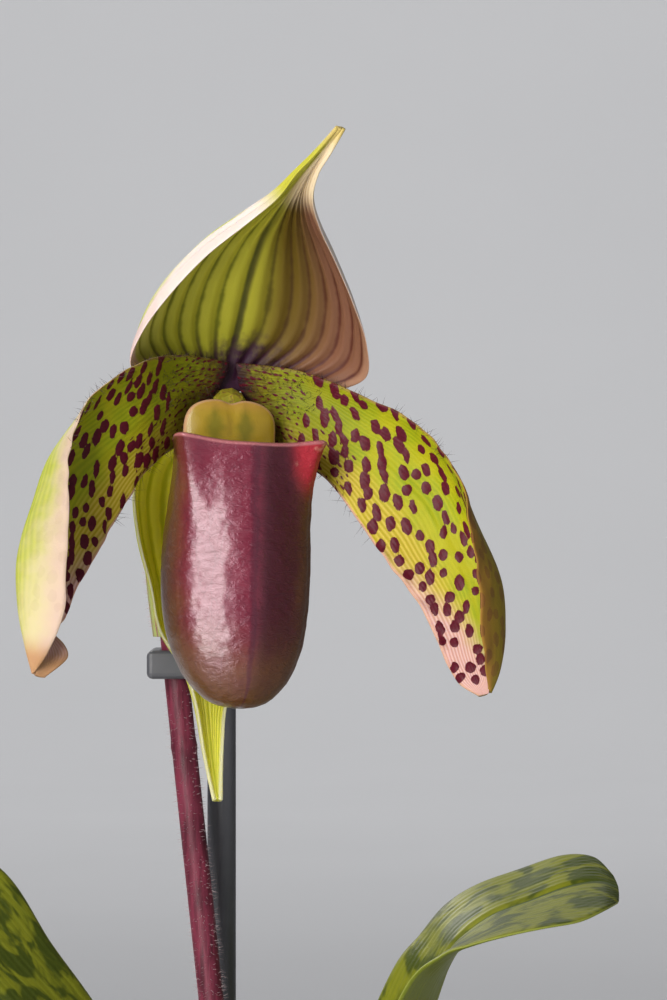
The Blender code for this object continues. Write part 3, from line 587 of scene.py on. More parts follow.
# %% The petal's front
def petal_front(skin, streak, ripple, cloud):
    """Lime, yellow and then pink towards the near margin and the tip, and dark at the base: a dark heart of
    its own, and painted shade over the lower part.
    """
    way, share, edge = skin.marks("way share edge")
    lime = skin.blend(streak, (0.27, 0.33, 0.006), (0.36, 0.39, 0.008))
    lime = skin.blend(skin.between(cloud, 0.35, 0.7), lime, (0.42, 0.40, 0.008))
    yellow = skin.blend(streak, (0.42, 0.33, 0.012), (0.58, 0.45, 0.06))
    blush = skin.blend(streak, (0.56, 0.29, 0.24), (0.70, 0.46, 0.42))
    low = skin.between(share + ripple * 0.3 + way * 0.3, 0.35, 0.85)
    pink = skin.between(way * 1.1 + share * 0.42 + ripple * 0.16, 0.86, 1.12)
    ground = skin.blend(pink, skin.blend(low, lime, yellow), blush)
    margin = skin.blend(skin.between(share, -0.3, 0.3), (0.34, 0.24, 0.04), (0.62, 0.36, 0.26))
    ground = skin.blend(skin.between(edge, 0.5, 0.15), ground, margin)
    # Painted shade: the lime is darkened towards the base, near the middle of the bloom.
    shade = skin.between(way + cloud * 0.08, 0.36, 0.16)
    ground = skin.blend(shade * 0.55, ground, (0.12, 0.135, 0.004))
    heart = skin.between(way + skin.noise(1.0, 4.0) * 0.20 - share * 0.03, 0.235, 0.115)
    speckle = skin.blend(ripple, (0.060, 0.014, 0.014), (0.13, 0.075, 0.008))
    ground = skin.blend(heart * 0.9, ground, speckle)
    root = skin.between(way + skin.noise(0.8, 3.0) * 0.05, 0.075, 0.03)
    return skin.blend(root, ground, (0.030, 0.010, 0.016))


# %% The petal's back
def petal_back(skin, streak, ripple):
    """Lime with a pale end and a cream margin on the left petal; brown on the right one, as painted shade."""
    way, share, lit = skin.marks("way share lit")
    lime = skin.blend(streak, (0.34, 0.41, 0.006), (0.46, 0.50, 0.02))
    end = skin.between(way * 0.8 + share * -0.6 + ripple * 0.3, 0.85, 1.3)
    lime = skin.blend(end, lime, (0.62, 0.54, 0.30))
    margin = skin.between(share * -1.0 + way * 0.10 + ripple * 0.14, 0.90, 1.14)
    # Painted shade: on the right petal the body and the margin of the back are brown.
    margin_color = skin.blend(lit, (0.33, 0.17, 0.03), (0.62, 0.46, 0.36))
    return skin.blend(margin, skin.blend(lit, (0.30, 0.21, 0.02), lime), margin_color)


# %% Petal finish
def petal_finish():
    skin = Finish(
        "petal_skin", Subsurface_Weight=0.10, Subsurface_Scale=0.0010, Subsurface_Radius=(1.0, 0.8, 0.15),
        Coat_Roughness=0.25, Specular_IOR_Level=0.18)
    face, tan, lit, vein, spot = skin.marks("face tan lit vein spot")
    ripple, cloud = skin.noise(3.0), skin.noise(6.0, 2.0)
    streak = skin.between(skin.lines(vein), 0.10, 0.90)
    dark = skin.between(spot + skin.sway(0.4, 0.2, 2.0), 0.05, -0.07)
    crimson = skin.blend(skin.noise(0.5), (0.060, 0.002, 0.010), (0.130, 0.007, 0.020))
    inner = skin.blend(dark, petal_front(skin, streak, ripple, cloud), crimson)
    # The spots show through the back, more strongly on the right petal, whose back is painted in shade.
    outer = skin.blend(dark * (0.40 - lit * 0.34), petal_back(skin, streak, ripple), (0.16, 0.04, 0.03))
    dry = skin.blend(ripple, (0.42, 0.20, 0.08), (0.55, 0.33, 0.18))
    skin.wear("Base Color", skin.blend(tan, skin.blend(face, outer, inner), dry))
    skin.wear("Coat Weight", dark * face * 0.06)
    skin.fine_grain(0.52, 0.06, 0.35, 0.03)
    return skin


# %% Both petals
petal_skin = petal_finish()
petal_right = petal_piece("petal_right_skin", PETAL, 11, petal_skin, False, 0.92)
left_rows = [list(row) for row in PETAL]
for (row, place), point in LEFT_SHAPE.items():
    left_rows[row][place] = point
petal_left = petal_piece("petal_left_skin", left_rows, 23, petal_skin, True, 0.78)
stand_for(petal_right, "petal", "petal_right")
stand_for(petal_left, "petal", "petal_left")

# %% [markdown]
# ## Dorsal sepal and synsepal
# The hood over the bloom is one sepal, and the one behind the pouch is two grown together. Both are
# pleated along their veins, so the pleats are real grooves, and the same numbers paint the stripes.

# %% Sepal rows
DORSAL = (
    ((0, 4.6, 1.7), (3, 4.6, 1.8), (5, 3.9, 1.9)),
    ((0, 3.4, 7.2), (9, 4.6, 6.4), (14.8, -2.6, 2.2)),
    ((0, 0, 12.6), (14.5, 2, 11), (20.6, -7.8, 4.6)),
    ((0, -3.2, 17.4), (15.5, -1.6, 16.4), (20, -11.2, 10.4)),
    ((0, -7.4, 22.4), (14, -5.6, 21.8), (16.6, -14.6, 16.8)),
    ((0, -12.4, 26.8), (10.2, -10.6, 26.8), (11.8, -18.8, 23)),
    ((0.3, -18.4, 29.9), (6, -17, 30.4), (6.8, -23.4, 28)),
    ((1, -23.8, 32.9), (2.8, -23.2, 33.6), (3.2, -27, 32)),
    ((2, -27.9, 36), (1.4, -27.8, 36.6), (1.8, -29.8, 35.8)),
    ((3.7, -31.2, 39.4), (0.9, -31.2, 39.9), (1.2, -32.4, 39)),
    ((5.8, -34, 43.2), (0.5, -34, 43.4), (0.7, -34.4, 43)),
)
DORSAL_LIP = (0, 0, 0.6, 1, 1.2, 1, 0.7, 0.3, 0, 0, 0)
SYNSEPAL = (
    ((0, 6.4, -5.4), (3, 6.2, -5.6), (5, 5.4, -5.2)),
    ((-0.8, 7.6, -9.6), (10.4, 8.4, -9.6), (12.6, 3, -8.6)),
    ((-1.4, 8, -15.6), (13.2, 8.6, -15.6), (14.8, 0, -15.2)),
    ((-1.3, 8.4, -23), (12.8, 9.2, -23.4), (13.5, 1, -23.4)),
    ((-1, 8.6, -30.6), (10.4, 9.8, -31.2), (10.8, 2.8, -31.4)),
    ((-0.6, 8.6, -38.2), (8.2, 10, -39), (8.8, 4.4, -38.8)),
    ((-0.2, 8, -45), (4.2, 9, -45.4), (4.6, 5, -45)),
    ((0, 6.8, -51), (2.2, 7.6, -51.2), (2.6, 4.2, -51)),
    ((0, 3.2, -59), (1.2, 3.6, -59.2), (1.6, 1.4, -58.8)),
    ((0, -2, -66.4), (0.5, -2, -66.6), (0.7, -2.6, -66.2)),
)
SEPAL_THICK = (0.9, 0.5)


def both_halves(rows):
    """Rows of five from rows of midrib, shoulder and margin; the halves follow the midrib's drift."""
    full = []
    for row in rows:
        middle, shoulder, margin = np.array(row, float)
        drift = middle * (1, 0, 0)
        far_margin, far_shoulder = (point * (-1, 1, 1) + drift for point in (margin, shoulder))
        full.append((far_margin, far_shoulder, middle, shoulder + drift, margin + drift))
    return full


print("sepals:", len(DORSAL), "rows for the hood and", len(SYNSEPAL), "for the lower one")


# %% Sepal meshes
CREASE_DEPTH = 0.35
CREASE_WIDTH = 0.6


def sepal_piece(name, rows, counts, finish, pleats, depth, lip=None, flip=1):
    blade = Blade(both_halves(rows), *counts, lip=lip, flip=flip)
    veins = blade.share * pleats + noise_at(blade.grid, 18.0, 5.0) * 0.3
    fade = band(blade.way, (0.03, 0.12), (0.7, 0.95)) * (1 - smooth(np.abs(blade.share), 0.78, 0.95))
    groove = -depth * np.cos(2 * math.pi * veins) * fade
    crease = -CREASE_DEPTH * np.exp(-((blade.across / CREASE_WIDTH) ** 2))
    relief = groove + crease * band(blade.way, (0.05, 0.2), (0.75, 0.9))
    half = half_thickness(blade, SEPAL_THICK)
    front, back = blade.offset(half + relief), blade.offset(relief - half)
    return closed_sheet(name, bloom_to_world(front), bloom_to_world(back), blade.marks(vein=veins), finish)


# %% The hood's inner side
def hood_inside(skin, line, right, pale):
    """Lime on the left and brown on the right, striped, with a pale rim and a dark stain at the base. The
    brown right half and its darker rim are partly their own colour and partly painted shade, and painted
    shade darkens the lime low in the hood and along the midrib crease.
    """
    way, share, edge, across = skin.marks("way share edge across")
    outwards = skin.between(abs(share + 0.12), 0.35, 0.85)
    # Painted shade: the lime is darker low in the hood, near its base.
    hood_base_shade = skin.between(way + skin.noise(4.0) * 0.1, 0.42, 0.16)
    lime = skin.blend(outwards, (0.52, 0.50, 0.04), (0.64, 0.58, 0.16))
    lime = skin.blend(hood_base_shade * 0.45, lime, (0.20, 0.20, 0.008))
    brown = skin.blend(outwards, (0.150, 0.098, 0.009), (0.21, 0.092, 0.052))
    dark_lime = skin.blend(outwards, (0.14, 0.15, 0.005), (0.26, 0.25, 0.015))
    dark_brown = skin.blend(outwards, (0.070, 0.034, 0.005), (0.085, 0.020, 0.012))
    inner = skin.blend(line * 0.9, skin.blend(right, lime, brown), skin.blend(right, dark_lime, dark_brown))
    inner = skin.blend(skin.between(way, 0.22, 0.10) * line * 0.7, inner, (0.060, 0.014, 0.030))
    # Painted shade: a dark olive line along the midrib's crease.
    middle = skin.between(abs(across - 0.2), 0.9, 0.2) * skin.between(way, 0.75, 0.45)
    inner = skin.blend(middle * 0.8, inner, (0.060, 0.055, 0.012))
    stain = skin.between(way + skin.noise(1.6) * 0.12 + abs(share - 0.14) * 0.13, 0.27, 0.17)
    inner = skin.blend(stain, inner, (0.040, 0.010, 0.030))
    rim = skin.between(edge + share * 0.7 + skin.sway(2.5, 0.6), 2.7, 1.5)
    # The rim is pale on the left and a darker pinkish brown on the right, which is partly painted shade.
    return skin.blend(rim, inner, skin.blend(right, pale, (0.34, 0.18, 0.11)))


# %% Dorsal sepal
def dorsal_finish():
    skin = Finish(
        "dorsal_skin", Subsurface_Weight=0.12, Subsurface_Scale=0.0012, Subsurface_Radius=(1.0, 0.9, 0.3),
        Specular_IOR_Level=0.3)
    way, share, edge, face, vein = skin.marks("way share edge face vein")
    line = skin.between(skin.lines(vein) + skin.sway(2.5, 0.5) + way * 0.2, 0.46, 0.04)
    # Partly the hood's own colour and partly painted shade: the right half of the inner side, and its rim,
    # are browner and darker.
    right = skin.between(share + way * 0.15, 0.02, 0.30)
    pale = skin.blend(
        skin.between(way + skin.noise(2.0) * 0.2, 0.22, 0.55), (0.66, 0.42, 0.40), (0.80, 0.68, 0.62))
    outer = skin.blend(line * 0.5, (0.50, 0.54, 0.12), (0.28, 0.34, 0.04))
    outer = skin.blend(skin.between(edge + skin.sway(2.5, 0.6), 4.6, 3.2), outer, pale)
    both = skin.blend(face, outer, hood_inside(skin, line, right, pale))
    horn = skin.blend(skin.between(share, 0.1, -0.25), (0.74, 0.60, 0.40), (0.50, 0.48, 0.04))
    both = skin.blend(skin.between(way, 0.62, 0.74), both, horn)
    skin.wear("Base Color", skin.blend(skin.between(way, 0.90, 0.98), both, (0.60, 0.46, 0.14)))
    skin.fine_grain(0.48, 0.12, 0.3, 0.04)
    return skin


dorsal = sepal_piece("dorsal_sepal_skin", DORSAL, (200, 60), dorsal_finish(), 7.5, 0.32, DORSAL_LIP)
stand_for(dorsal, "sepal", "dorsal_sepal")


# %% Synsepal
def synsepal_finish():
    skin = Finish(
        "synsepal_skin", Subsurface_Weight=0.70, Subsurface_Scale=0.0030, Subsurface_Radius=(1.0, 0.9, 0.4),
        Specular_IOR_Level=0.3)
    edge, vein = skin.marks("edge vein")
    line = skin.between(skin.lines(vein) + skin.sway(1.5, 0.3), 0.55, 0.1)
    body = skin.blend(line, (0.74, 0.70, 0.09), (0.46, 0.48, 0.03))
    rim = skin.between(edge + skin.sway(2.0, 0.3), 0.9, 0.3)
    skin.wear("Base Color", skin.blend(rim, body, (0.72, 0.68, 0.36)))
    skin.fine_grain(0.44, 0.12, 0.3, 0.04)
    return skin


synsepal = sepal_piece("synsepal_skin", SYNSEPAL, (170, 36), synsepal_finish(), 5.5, 0.16, flip=-1)
stand_for(synsepal, "sepal", "synsepal")

# %% [markdown]
# ## The pouch
# The slipper is one deep cup. Rings of points are stacked from its tip to the mouth, outside and
# then inside, and the mouth's two corners are drawn out into ears. A keel runs down the front, and
# small wrinkles are pressed into the wax. The finish adds the veins, finer crinkles and the gloss.

# %% Pouch sections
# height, middle (y), half width, half depth in front and behind, squareness
POUCH = (
    (-50.9, -11, 0.5, 0.5, 0.5, 2),
    (-50.4, -11, 3.4, 3, 3.2, 2),
    (-48.8, -10.6, 6.2, 5.4, 6.4, 2),
    (-45.4, -9.8, 9, 7.6, 9.4, 2.1),
    (-40, -8.6, 11.1, 8.9, 11.2, 2.2),
    (-33, -7.2, 12.1, 9.7, 11.6, 2.25),
    (-25, -6.4, 12.2, 9.9, 11, 2.3),
    (-18, -6.2, 11.6, 9, 9.6, 2.4),
    (-12, -6.2, 10.9, 8, 8.4, 2.5),
    (-7.4, -6.2, 10.7, 7.7, 7.8, 2.6),
)
POUCH_WALL = 0.9
POUCH_SIDES = 220
POUCH_LEVELS = 130
EAR_FLARE = (2.8, -2.4, 1.0)
EAR_FROM = -24
EAR_ANGLE = 28
EAR_SPREAD = 30
BACK_RISE = 0.8
print("pouch:", len(POUCH), "sections from", POUCH[0][0], "to", POUCH[-1][0], "mm")


# %% One ring of the pouch
def rounded(turns, reach, square):
    return np.sign(turns) * np.abs(turns) ** (2 / square) * np.maximum(reach, 0.3)


def around_axis(sides):
    """The angles of evenly spaced points on a ring."""
    return np.linspace(0, 2 * math.pi, sides, endpoint=False)


def pouch_ring(height, middle, wide, fore, aft, square, inset):
    """Points of one level, the angle of each from the front, and how far it is drawn into an ear."""
    turns = around_axis(POUCH_SIDES)
    c, s = np.cos(turns), np.sin(turns)
    y = middle + rounded(s, np.where(s < 0, fore, aft) - inset, square)
    ring = np.stack([rounded(c, wide - inset, square), y, np.full(POUCH_SIDES, height)], 1)
    rise = max(0.0, (height - EAR_FROM) / (POUCH[-1][0] - EAR_FROM)) ** 2
    drawn = np.zeros(POUCH_SIDES)
    for side, corner in ((1, -EAR_ANGLE), (-1, 180 + EAR_ANGLE)):
        away = np.abs((turns - math.radians(corner) + math.pi) % (2 * math.pi) - math.pi)
        pull = rise * np.exp(-((away / math.radians(EAR_SPREAD)) ** 2))
        ring += np.outer(pull, EAR_FLARE) * (side, 1, 1)
        drawn = np.maximum(drawn, pull)
    ring[:, 2] += BACK_RISE * rise * np.clip(s, 0, 1) ** 3
    from_front = (np.degrees(turns) - 270 + 180) % 360 - 180
    return ring, from_front, drawn


# %% Skins over rings
def ring_normals(rings):
    around = np.roll(rings, -1, axis=1) - np.roll(rings, 1, axis=1)
    return unit(np.cross(around, np.gradient(rings, axis=0)))


def capped_rings(rings):
    """Points and faces of a skin over rings, closed by a fan at each end."""
    count, sides = len(rings), len(rings[0])
    points = np.concatenate([[rings[0].mean(0)], *rings, [rings[-1].mean(0)]])
    faces = []
    for k in range(count - 1):
        for j in range(sides):
            a, b = 1 + k * sides + j, 1 + k * sides + (j + 1) % sides
            faces.append((a, b, b + sides, a + sides))
    last = 1 + (count - 1) * sides
    for j in range(sides):
        after = (j + 1) % sides
        faces += [(0, 1 + after, 1 + j), (len(points) - 1, last + j, last + after)]
    return points, faces


# %% Pouch relief
KEEL_HEIGHT, KEEL_REACH = 1.0, 22
LIP_SWELL, LIP_REACH = 0.18, 0.8


def fold_at(turn, depth, angle, reach):
    """A soft groove down each side, at an angle from the front."""
    return -depth * np.exp(-(((np.abs(turn) - angle) / reach) ** 2))


def pouch_relief(outer, turn, height, to_rim):
    """How far the wax stands out from the plain rings: keel, folds and wrinkles, and the swollen lip."""
    keel = KEEL_HEIGHT * np.exp(-np.abs(turn) / KEEL_REACH) + fold_at(turn, 0.5, 34, 20)
    coarse = 0.09 * noise_at(outer * (1, 1, 1.6), 3.4, 4.0)
    wrinkle = coarse + 0.05 * noise_at(outer * (1.2, 1.2, 1.5), 1.1, 8.0)
    relief = keel * smooth(height, -50, -38) + wrinkle * smooth(to_rim, 0.5, 3)
    lip = LIP_SWELL * np.exp(-((to_rim / LIP_REACH) ** 2))
    return relief + fold_at(turn, 0.14, 62, 4) * smooth(height, -48, -40) + lip


# %% Pouch mesh
INNER_FROM = -49.6
RIM_RISE = 0.28
DEEP_INSIDE = 60


def pouch_piece(finish):
    levels = through(POUCH, np.linspace(0, 1, POUCH_LEVELS))
    outer, turn, drawn = map(np.array, zip(*(pouch_ring(*level, 0.0) for level in levels)))
    inner = np.array([pouch_ring(*level, POUCH_WALL)[0] for level in levels])
    inner[:, :, 2] += POUCH_WALL * 0.5 * (1 - smooth(levels[:, 0], -49, -40))[:, None]
    height = outer[:, :, 2]
    to_rim = np.repeat(np.abs(levels[-1, 0] - levels[:, 0])[:, None], POUCH_SIDES, axis=1)
    shell = outer + ring_normals(outer) * pouch_relief(outer, turn, height, to_rim)[..., None]
    start = int(np.argmax(levels[:, 0] > INNER_FROM))
    rim = (shell[-1] + inner[-1]) / 2 + (0, 0, RIM_RISE)
    points, faces = capped_rings(np.concatenate([shell, rim[None], inner[start:][::-1]]))

    def stack(values, cap, end):
        return np.concatenate([[cap], values.ravel(), values[-1], values[start:][::-1].ravel(), [end]])

    inside = np.zeros(len(points))
    inside[1 + (len(shell) + 1) * POUCH_SIDES :] = 1
    marks = {
        "turn": stack(turn, 0, 0), "height": stack(height, height[0, 0], height[start, 0]),
        "drawn": stack(drawn, 0, 0), "rim": stack(to_rim, DEEP_INSIDE, DEEP_INSIDE), "inside": inside,
    }
    return closed_piece("pouch_skin", bloom_to_world(points), faces, finish, marks)


# %% The pouch's colours
def pouch_wax(skin, cloud, turn, height):
    """Maroon with painted shade on its right side, olive towards the tip and the flanks, and netted with
    veins.
    """
    maroon = skin.blend(cloud, (0.115, 0.007, 0.022), (0.21, 0.020, 0.044))
    # Painted shade: the right side of the pouch is a darker maroon.
    maroon = skin.blend(skin.between(turn, -2.0, 10.0) * 0.85, maroon, (0.040, 0.0025, 0.008))
    olive = skin.blend(cloud, (0.080, 0.030, 0.006), (0.135, 0.060, 0.009))
    low = skin.between(height * -1.0 + cloud * 9.0 + abs(turn) * 0.06, 38.0, 56.0)
    flank = skin.between(abs(turn + 8.0) + cloud * 26.0, 50.0, 84.0)
    body = skin.blend(low * 0.9, skin.blend(flank * 0.85, maroon, olive), olive)
    mesh = skin.vector(turn * 0.14 + cloud * 2.4, height * 0.26 + skin.noise(2.5) * 1.2)
    veins = skin.node(
        "ShaderNodeTexVoronoi", {"feature": "DISTANCE_TO_EDGE"}, {"Vector": mesh, "Scale": 0.62})
    net = skin.between(veins + skin.sway(0.6, 0.05), 0.05, 0.0)
    body = skin.blend(net * 0.22, body, (0.045, 0.004, 0.012))
    front = skin.between(abs(turn + (cloud - 0.5) * 5.0), 3.0, 0.8)
    return skin.blend(front * 0.6, body, (0.06, 0.006, 0.018))


# %% Pouch finish
def pouch_finish():
    skin = Finish(
        "pouch_wax", Subsurface_Weight=0.06, Subsurface_Scale=0.0010, Subsurface_Radius=(1.0, 0.3, 0.2),
        Coat_Roughness=0.20, Specular_IOR_Level=0.65, Specular_Tint=(1.0, 0.74, 0.86, 1.0))
    turn, height, drawn, rim, inside = skin.marks("turn height drawn rim inside")
    cloud = skin.noise(5.0, 3.0)
    body = pouch_wax(skin, cloud, turn, height)
    # The right ear's bright red is partly its own colour and partly painted light shining through it; the
    # left ear has none.
    backlit_ear = skin.between(drawn + (cloud - 0.5) * 0.2, 0.10, 0.42) * skin.between(turn, 10.0, 40.0)
    flecks = skin.between(skin.noise(2.2, 4.0) + drawn * 0.3, 0.72, 0.86)
    body = skin.blend(backlit_ear, body, skin.blend(flecks, (0.42, 0.016, 0.030), (0.62, 0.22, 0.17)))
    body = skin.blend(skin.between(rim, 0.5, 0.15) * 0.8, body, (0.48, 0.17, 0.18))
    dots = skin.between(skin.noise(0.9, 2.0), 0.55, 0.62)
    lining = skin.blend(dots, (0.48, 0.40, 0.12), (0.25, 0.04, 0.04))
    skin.wear("Base Color", skin.blend(inside, body, lining))
    away_from_key = skin.between(turn, 2.0, 14.0)
    skin.wear("Roughness", 0.26 + skin.noise(1.2, 4.0) * 0.16 + away_from_key * 0.22)
    skin.wear("Coat Weight", 0.55 - inside * 0.5 - away_from_key * 0.50)
    crinkle = skin.noise(1.0, 4.0, skin.stretched((420.0, 420.0, 900.0)), rough=0.6, warp=1.0)
    skin.wear("Normal", skin.bump(skin.noise(0.4, 3.0), 0.03, skin.bump(crinkle, 0.25)))
    return skin


pouch = pouch_piece(pouch_finish())
stand_for(pouch, "pouch", "pouch")

# %% [markdown]
# ## The shield and the column
# In the mouth of the pouch hangs a waxy olive shield with a notch at its top. It is a small form with
# a rule of its own: a rounded outline, cut by the notch, drawn inwards ring by ring over a bulge.

# %% Shield outline
SHIELD_AT = (-1.2, -2.2, -6.3)
SHIELD_SIZE = (15.8, 12.6)
SHIELD_SIDES = 160
NOTCH_DEPTH, NOTCH_REACH = 0.11, 0.075
BULGE = 1.8
GROOVE_DEPTH, GROOVE_WIDTH = 0.07, 0.7


def rooted(turns, power):
    return np.sign(turns) * np.abs(turns) ** power


def shield_outline():
    """Across and up for each point of a rounded square with a notch at its top."""
    turns = around_axis(SHIELD_SIDES)
    notch = 1 - NOTCH_DEPTH * np.exp(-np.abs((turns - math.pi / 2) / NOTCH_REACH) ** 1.3)
    taper = 1 + 0.06 * np.clip(-np.sin(turns), 0, 1)
    x = rooted(np.cos(turns), 0.66) * SHIELD_SIZE[0] / 2 * taper
    return x, rooted(np.sin(turns), 0.60) * SHIELD_SIZE[1] / 2 * notch


# %% Shield mesh
def shield_piece(finish):
    across, up = shield_outline()
    rings, reach = [], []
    for share in [*np.linspace(0.04, 0.9, 26), 0.94, 0.97, 0.99, 1.0]:
        x, z = across * share, up * share
        groove = 1 - GROOVE_DEPTH * np.exp(-((x / GROOVE_WIDTH) ** 2)) * np.clip(up / 4, 0, 1)
        bulge = BULGE * math.sqrt(max(0, 1 - share**2)) * groove
        rough = 0.12 * noise_at(np.stack([x, 0 * x, z], 1), 2.5, 2.0)
        rings.append(np.stack([x, rough - 0.45 - bulge, z], 1))
        reach.append(np.full(SHIELD_SIDES, share))
    for share, y in ((1.0, -0.1), (0.97, 0.0), (0.5, 0.0)):
        rings.append(np.stack([across * share, np.full(SHIELD_SIDES, y), up * share], 1))
        reach.append(np.full(SHIELD_SIDES, share))
    points, faces = capped_rings(rings)
    marks = {"reach": np.concatenate([[0], np.ravel(reach), [0]]), "side": points[:, 0], "lift": points[:, 2]}
    return closed_piece("shield_skin", bloom_to_world(points + SHIELD_AT), faces, finish, marks)


# %% Shield finish
def shield_finish():
    skin = Finish(
        "shield_wax", Subsurface_Weight=0.12, Subsurface_Scale=0.001, Subsurface_Radius=(1.0, 0.8, 0.2),
        Coat_Weight=0.15, Specular_IOR_Level=0.4)
    reach, side, lift = skin.marks("reach side lift")
    cloud = skin.noise(2.6, 3.0)
    olive = skin.blend(cloud, (0.30, 0.20, 0.008), (0.40, 0.27, 0.02))
    blotch = abs(abs(side + 0.4) - 2.6) + abs(lift - 1.6) * 0.45 + skin.sway(1.4, 1.6)
    body = skin.blend(skin.between(blotch, 2.6, 0.6) * 0.75, olive, (0.15, 0.14, 0.006))
    body = skin.blend(skin.between(lift, 3.6, 6.2) * 0.55, body, (0.50, 0.27, 0.08))
    skin.wear("Base Color", skin.blend(skin.between(reach, 0.93, 0.99), body, (0.55, 0.33, 0.18)))
    skin.wear("Roughness", 0.34 + cloud * 0.12)
    skin.wear("Normal", skin.bump(skin.noise(0.4, 3.0), 0.03))
    return skin


shield = shield_piece(shield_finish())
stand_for(shield, "shield", "staminode")

# %% Column, kept as its solid with a finish of its own
column_skin = Finish("column_wax", Roughness=0.5, Subsurface_Weight=0.15, Subsurface_Scale=0.001)
column_skin.wear("Base Color", column_skin.ramp(column_skin.noise(1.5), [
    (0.36, (0.24, 0.22, 0.015)), (0.56, (0.32, 0.28, 0.02)), (0.70, (0.12, 0.035, 0.025))]))
column_skin.wear("Normal", column_skin.bump(column_skin.noise(0.5), 0.05))


def dress_node(name, finish):
    """Gives a kept solid its finish."""
    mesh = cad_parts[name].data
    mesh.materials.clear()
    mesh.materials.append(finish.material)
    print(name, "keeps its solid in", finish.material.name)


dress_node("column", column_skin)

# %% [markdown]
# ## Stems by Geometry Nodes
# Scape, ovary and stake are rods along a path. One node tree makes them all: it reads a line of
# points with a girth at each, and sweeps a circle along it. The tree's inputs are the number of
# sides and the material, and the result is turned into a plain mesh.


# %% Helpers for geometry trees
def geometry_tree(name, inputs):
    """A new tree with a geometry input and output, and the named inputs given as (name, type, value)."""
    tree = bpy.data.node_groups.new(name, "GeometryNodeTree")
    tree.interface.new_socket("Geometry", in_out="INPUT", socket_type="NodeSocketGeometry")
    for label, kind, value in inputs:
        socket = tree.interface.new_socket(label, in_out="INPUT", socket_type=kind)
        if value is not None:
            socket.default_value = value
    tree.interface.new_socket("Geometry", in_out="OUTPUT", socket_type="NodeSocketGeometry")
    graph = Graph(tree)
    return graph, graph.node("NodeGroupInput", out="Geometry")


def end_tree(graph, geometry, material):
    """Every tree ends by making its instances real and setting the material."""
    real = graph.node("GeometryNodeRealizeInstances", None, {"Geometry": geometry})
    painted = graph.node("GeometryNodeSetMaterial", None, {"Geometry": real, "Material": material})
    outlet = graph.tree.nodes.new("NodeGroupOutput")
    graph.tree.links.new(painted.socket, outlet.inputs["Geometry"])
    print(graph.tree.name, "has", len(graph.tree.nodes), "nodes")


def grown(name, source, tree, values):
    """Runs the tree on the source mesh and keeps the result as a plain mesh object."""
    host = bpy.data.objects.new(name, source)
    scene.collection.objects.link(host)
    modifier = host.modifiers.new(tree.name, "NODES")
    modifier.node_group = tree
    for item in tree.interface.items_tree:
        if item.item_type == "SOCKET" and item.in_out == "INPUT" and item.name in values:
            modifier[item.identifier] = values[item.name]
    graph = bpy.context.evaluated_depsgraph_get()
    mesh = bpy.data.meshes.new_from_object(host.evaluated_get(graph))
    host.modifiers.clear()
    host.data = mesh
    mesh.name = name
    return host


# %% The tree that sweeps a rod along a path
rod, rod_in = geometry_tree("rod_along_path", [
    ("Sides", "NodeSocketInt", 24), ("Material", "NodeSocketMaterial", None)])
line = rod.node("GeometryNodeMeshToCurve", None, {"Mesh": rod_in})
girth = rod.node("GeometryNodeInputNamedAttribute", {"data_type": "FLOAT"}, {"Name": "girth"})
ring = rod.node("GeometryNodeCurvePrimitiveCircle", None, {
    "Resolution": rod_in.output("Sides"), "Radius": 1.0})
swept = rod.node("GeometryNodeCurveToMesh", None, {
    "Curve": line, "Profile Curve": ring, "Scale": girth, "Fill Caps": True})
end_tree(rod, swept, rod_in.output("Material"))


def rod_piece(name, path, girths, sides, finish):
    """A rod along path, in mm, with a radius at each point."""
    mesh = mesh_from(name + "_line", path, edges=[(k, k + 1) for k in range(len(path) - 1)])
    add_marks(mesh, {"girth": np.asarray(girths) * MM})
    piece = grown(name, mesh, rod.tree, {"Sides": sides, "Material": finish.material})
    turn_outwards(piece.data)
    piece.data.shade_smooth()
    return piece


def rounded_ends(girths, path, near, far):
    """Draws the girth in over the last stretch at each end, so that the rod closes in a dome."""
    run = run_along(path)
    for span, distance in ((near, run), (far, run[-1] - run)):
        girths = girths * np.sqrt(np.clip(1 - (np.clip(span - distance, 0, span) / span) ** 2, 0.01, 1))
    return girths


# %% Scape
SCAPE_PATH = ((-12.4, 2.0, 82.6), (-16.8, 2.6, 125), (-21.6, 3.4, 168), (-27, 4.3, 218), (-29, 4.9, 238))
SCAPE_RADIUS = 2.25
SCAPE_POINTS = 260
SKIN_INSET = 0.97
SCAPE_JOINT, JOINT_SWELL, JOINT_REACH = 207.4, 0.16, 0.8


def stem_finish(name, first, second):
    skin = Finish(name, Subsurface_Weight=0.05, Subsurface_Scale=0.001, Specular_IOR_Level=0.35)
    streak = skin.noise(1.0, 4.0, skin.stretched((1100.0, 1100.0, 130.0)))
    blotch = skin.noise(7.0, 2.0)
    skin.wear("Base Color", skin.blend(skin.between(streak + blotch * 0.5, 0.5, 0.95), first, second))
    skin.wear("Roughness", 0.42 + streak * 0.16)
    skin.wear("Normal", skin.bump(streak, 0.12))
    return skin


scape_path = through(SCAPE_PATH, np.linspace(0, 1, SCAPE_POINTS))
scape_girth = SCAPE_RADIUS * np.linspace(1.04, 0.97, SCAPE_POINTS) * SKIN_INSET
from_joint = (scape_path[:, 2] - SCAPE_JOINT) / JOINT_REACH
scape_girth = rounded_ends(scape_girth + JOINT_SWELL * np.exp(-(from_joint**2)), scape_path, 0.6, 0.6)
stem_skin = stem_finish("stem_skin", (0.070, 0.006, 0.017), (0.19, 0.024, 0.052))
scape = rod_piece("scape_skin", scape_path, scape_girth, 32, stem_skin)
print("scape:", round(float(run_along(scape_path)[-1]), 1), "mm long")
stand_for(scape, "stem", "scape")


# %% Ovary
def bezier(a, b, c, d, count):
    t = np.linspace(0, 1, count)[:, None]
    a, b, c, d = (np.asarray(p, float) for p in (a, b, c, d))
    return a * (1 - t) ** 3 + 3 * b * t * (1 - t) ** 2 + 3 * c * t * t * (1 - t) + d * t**3


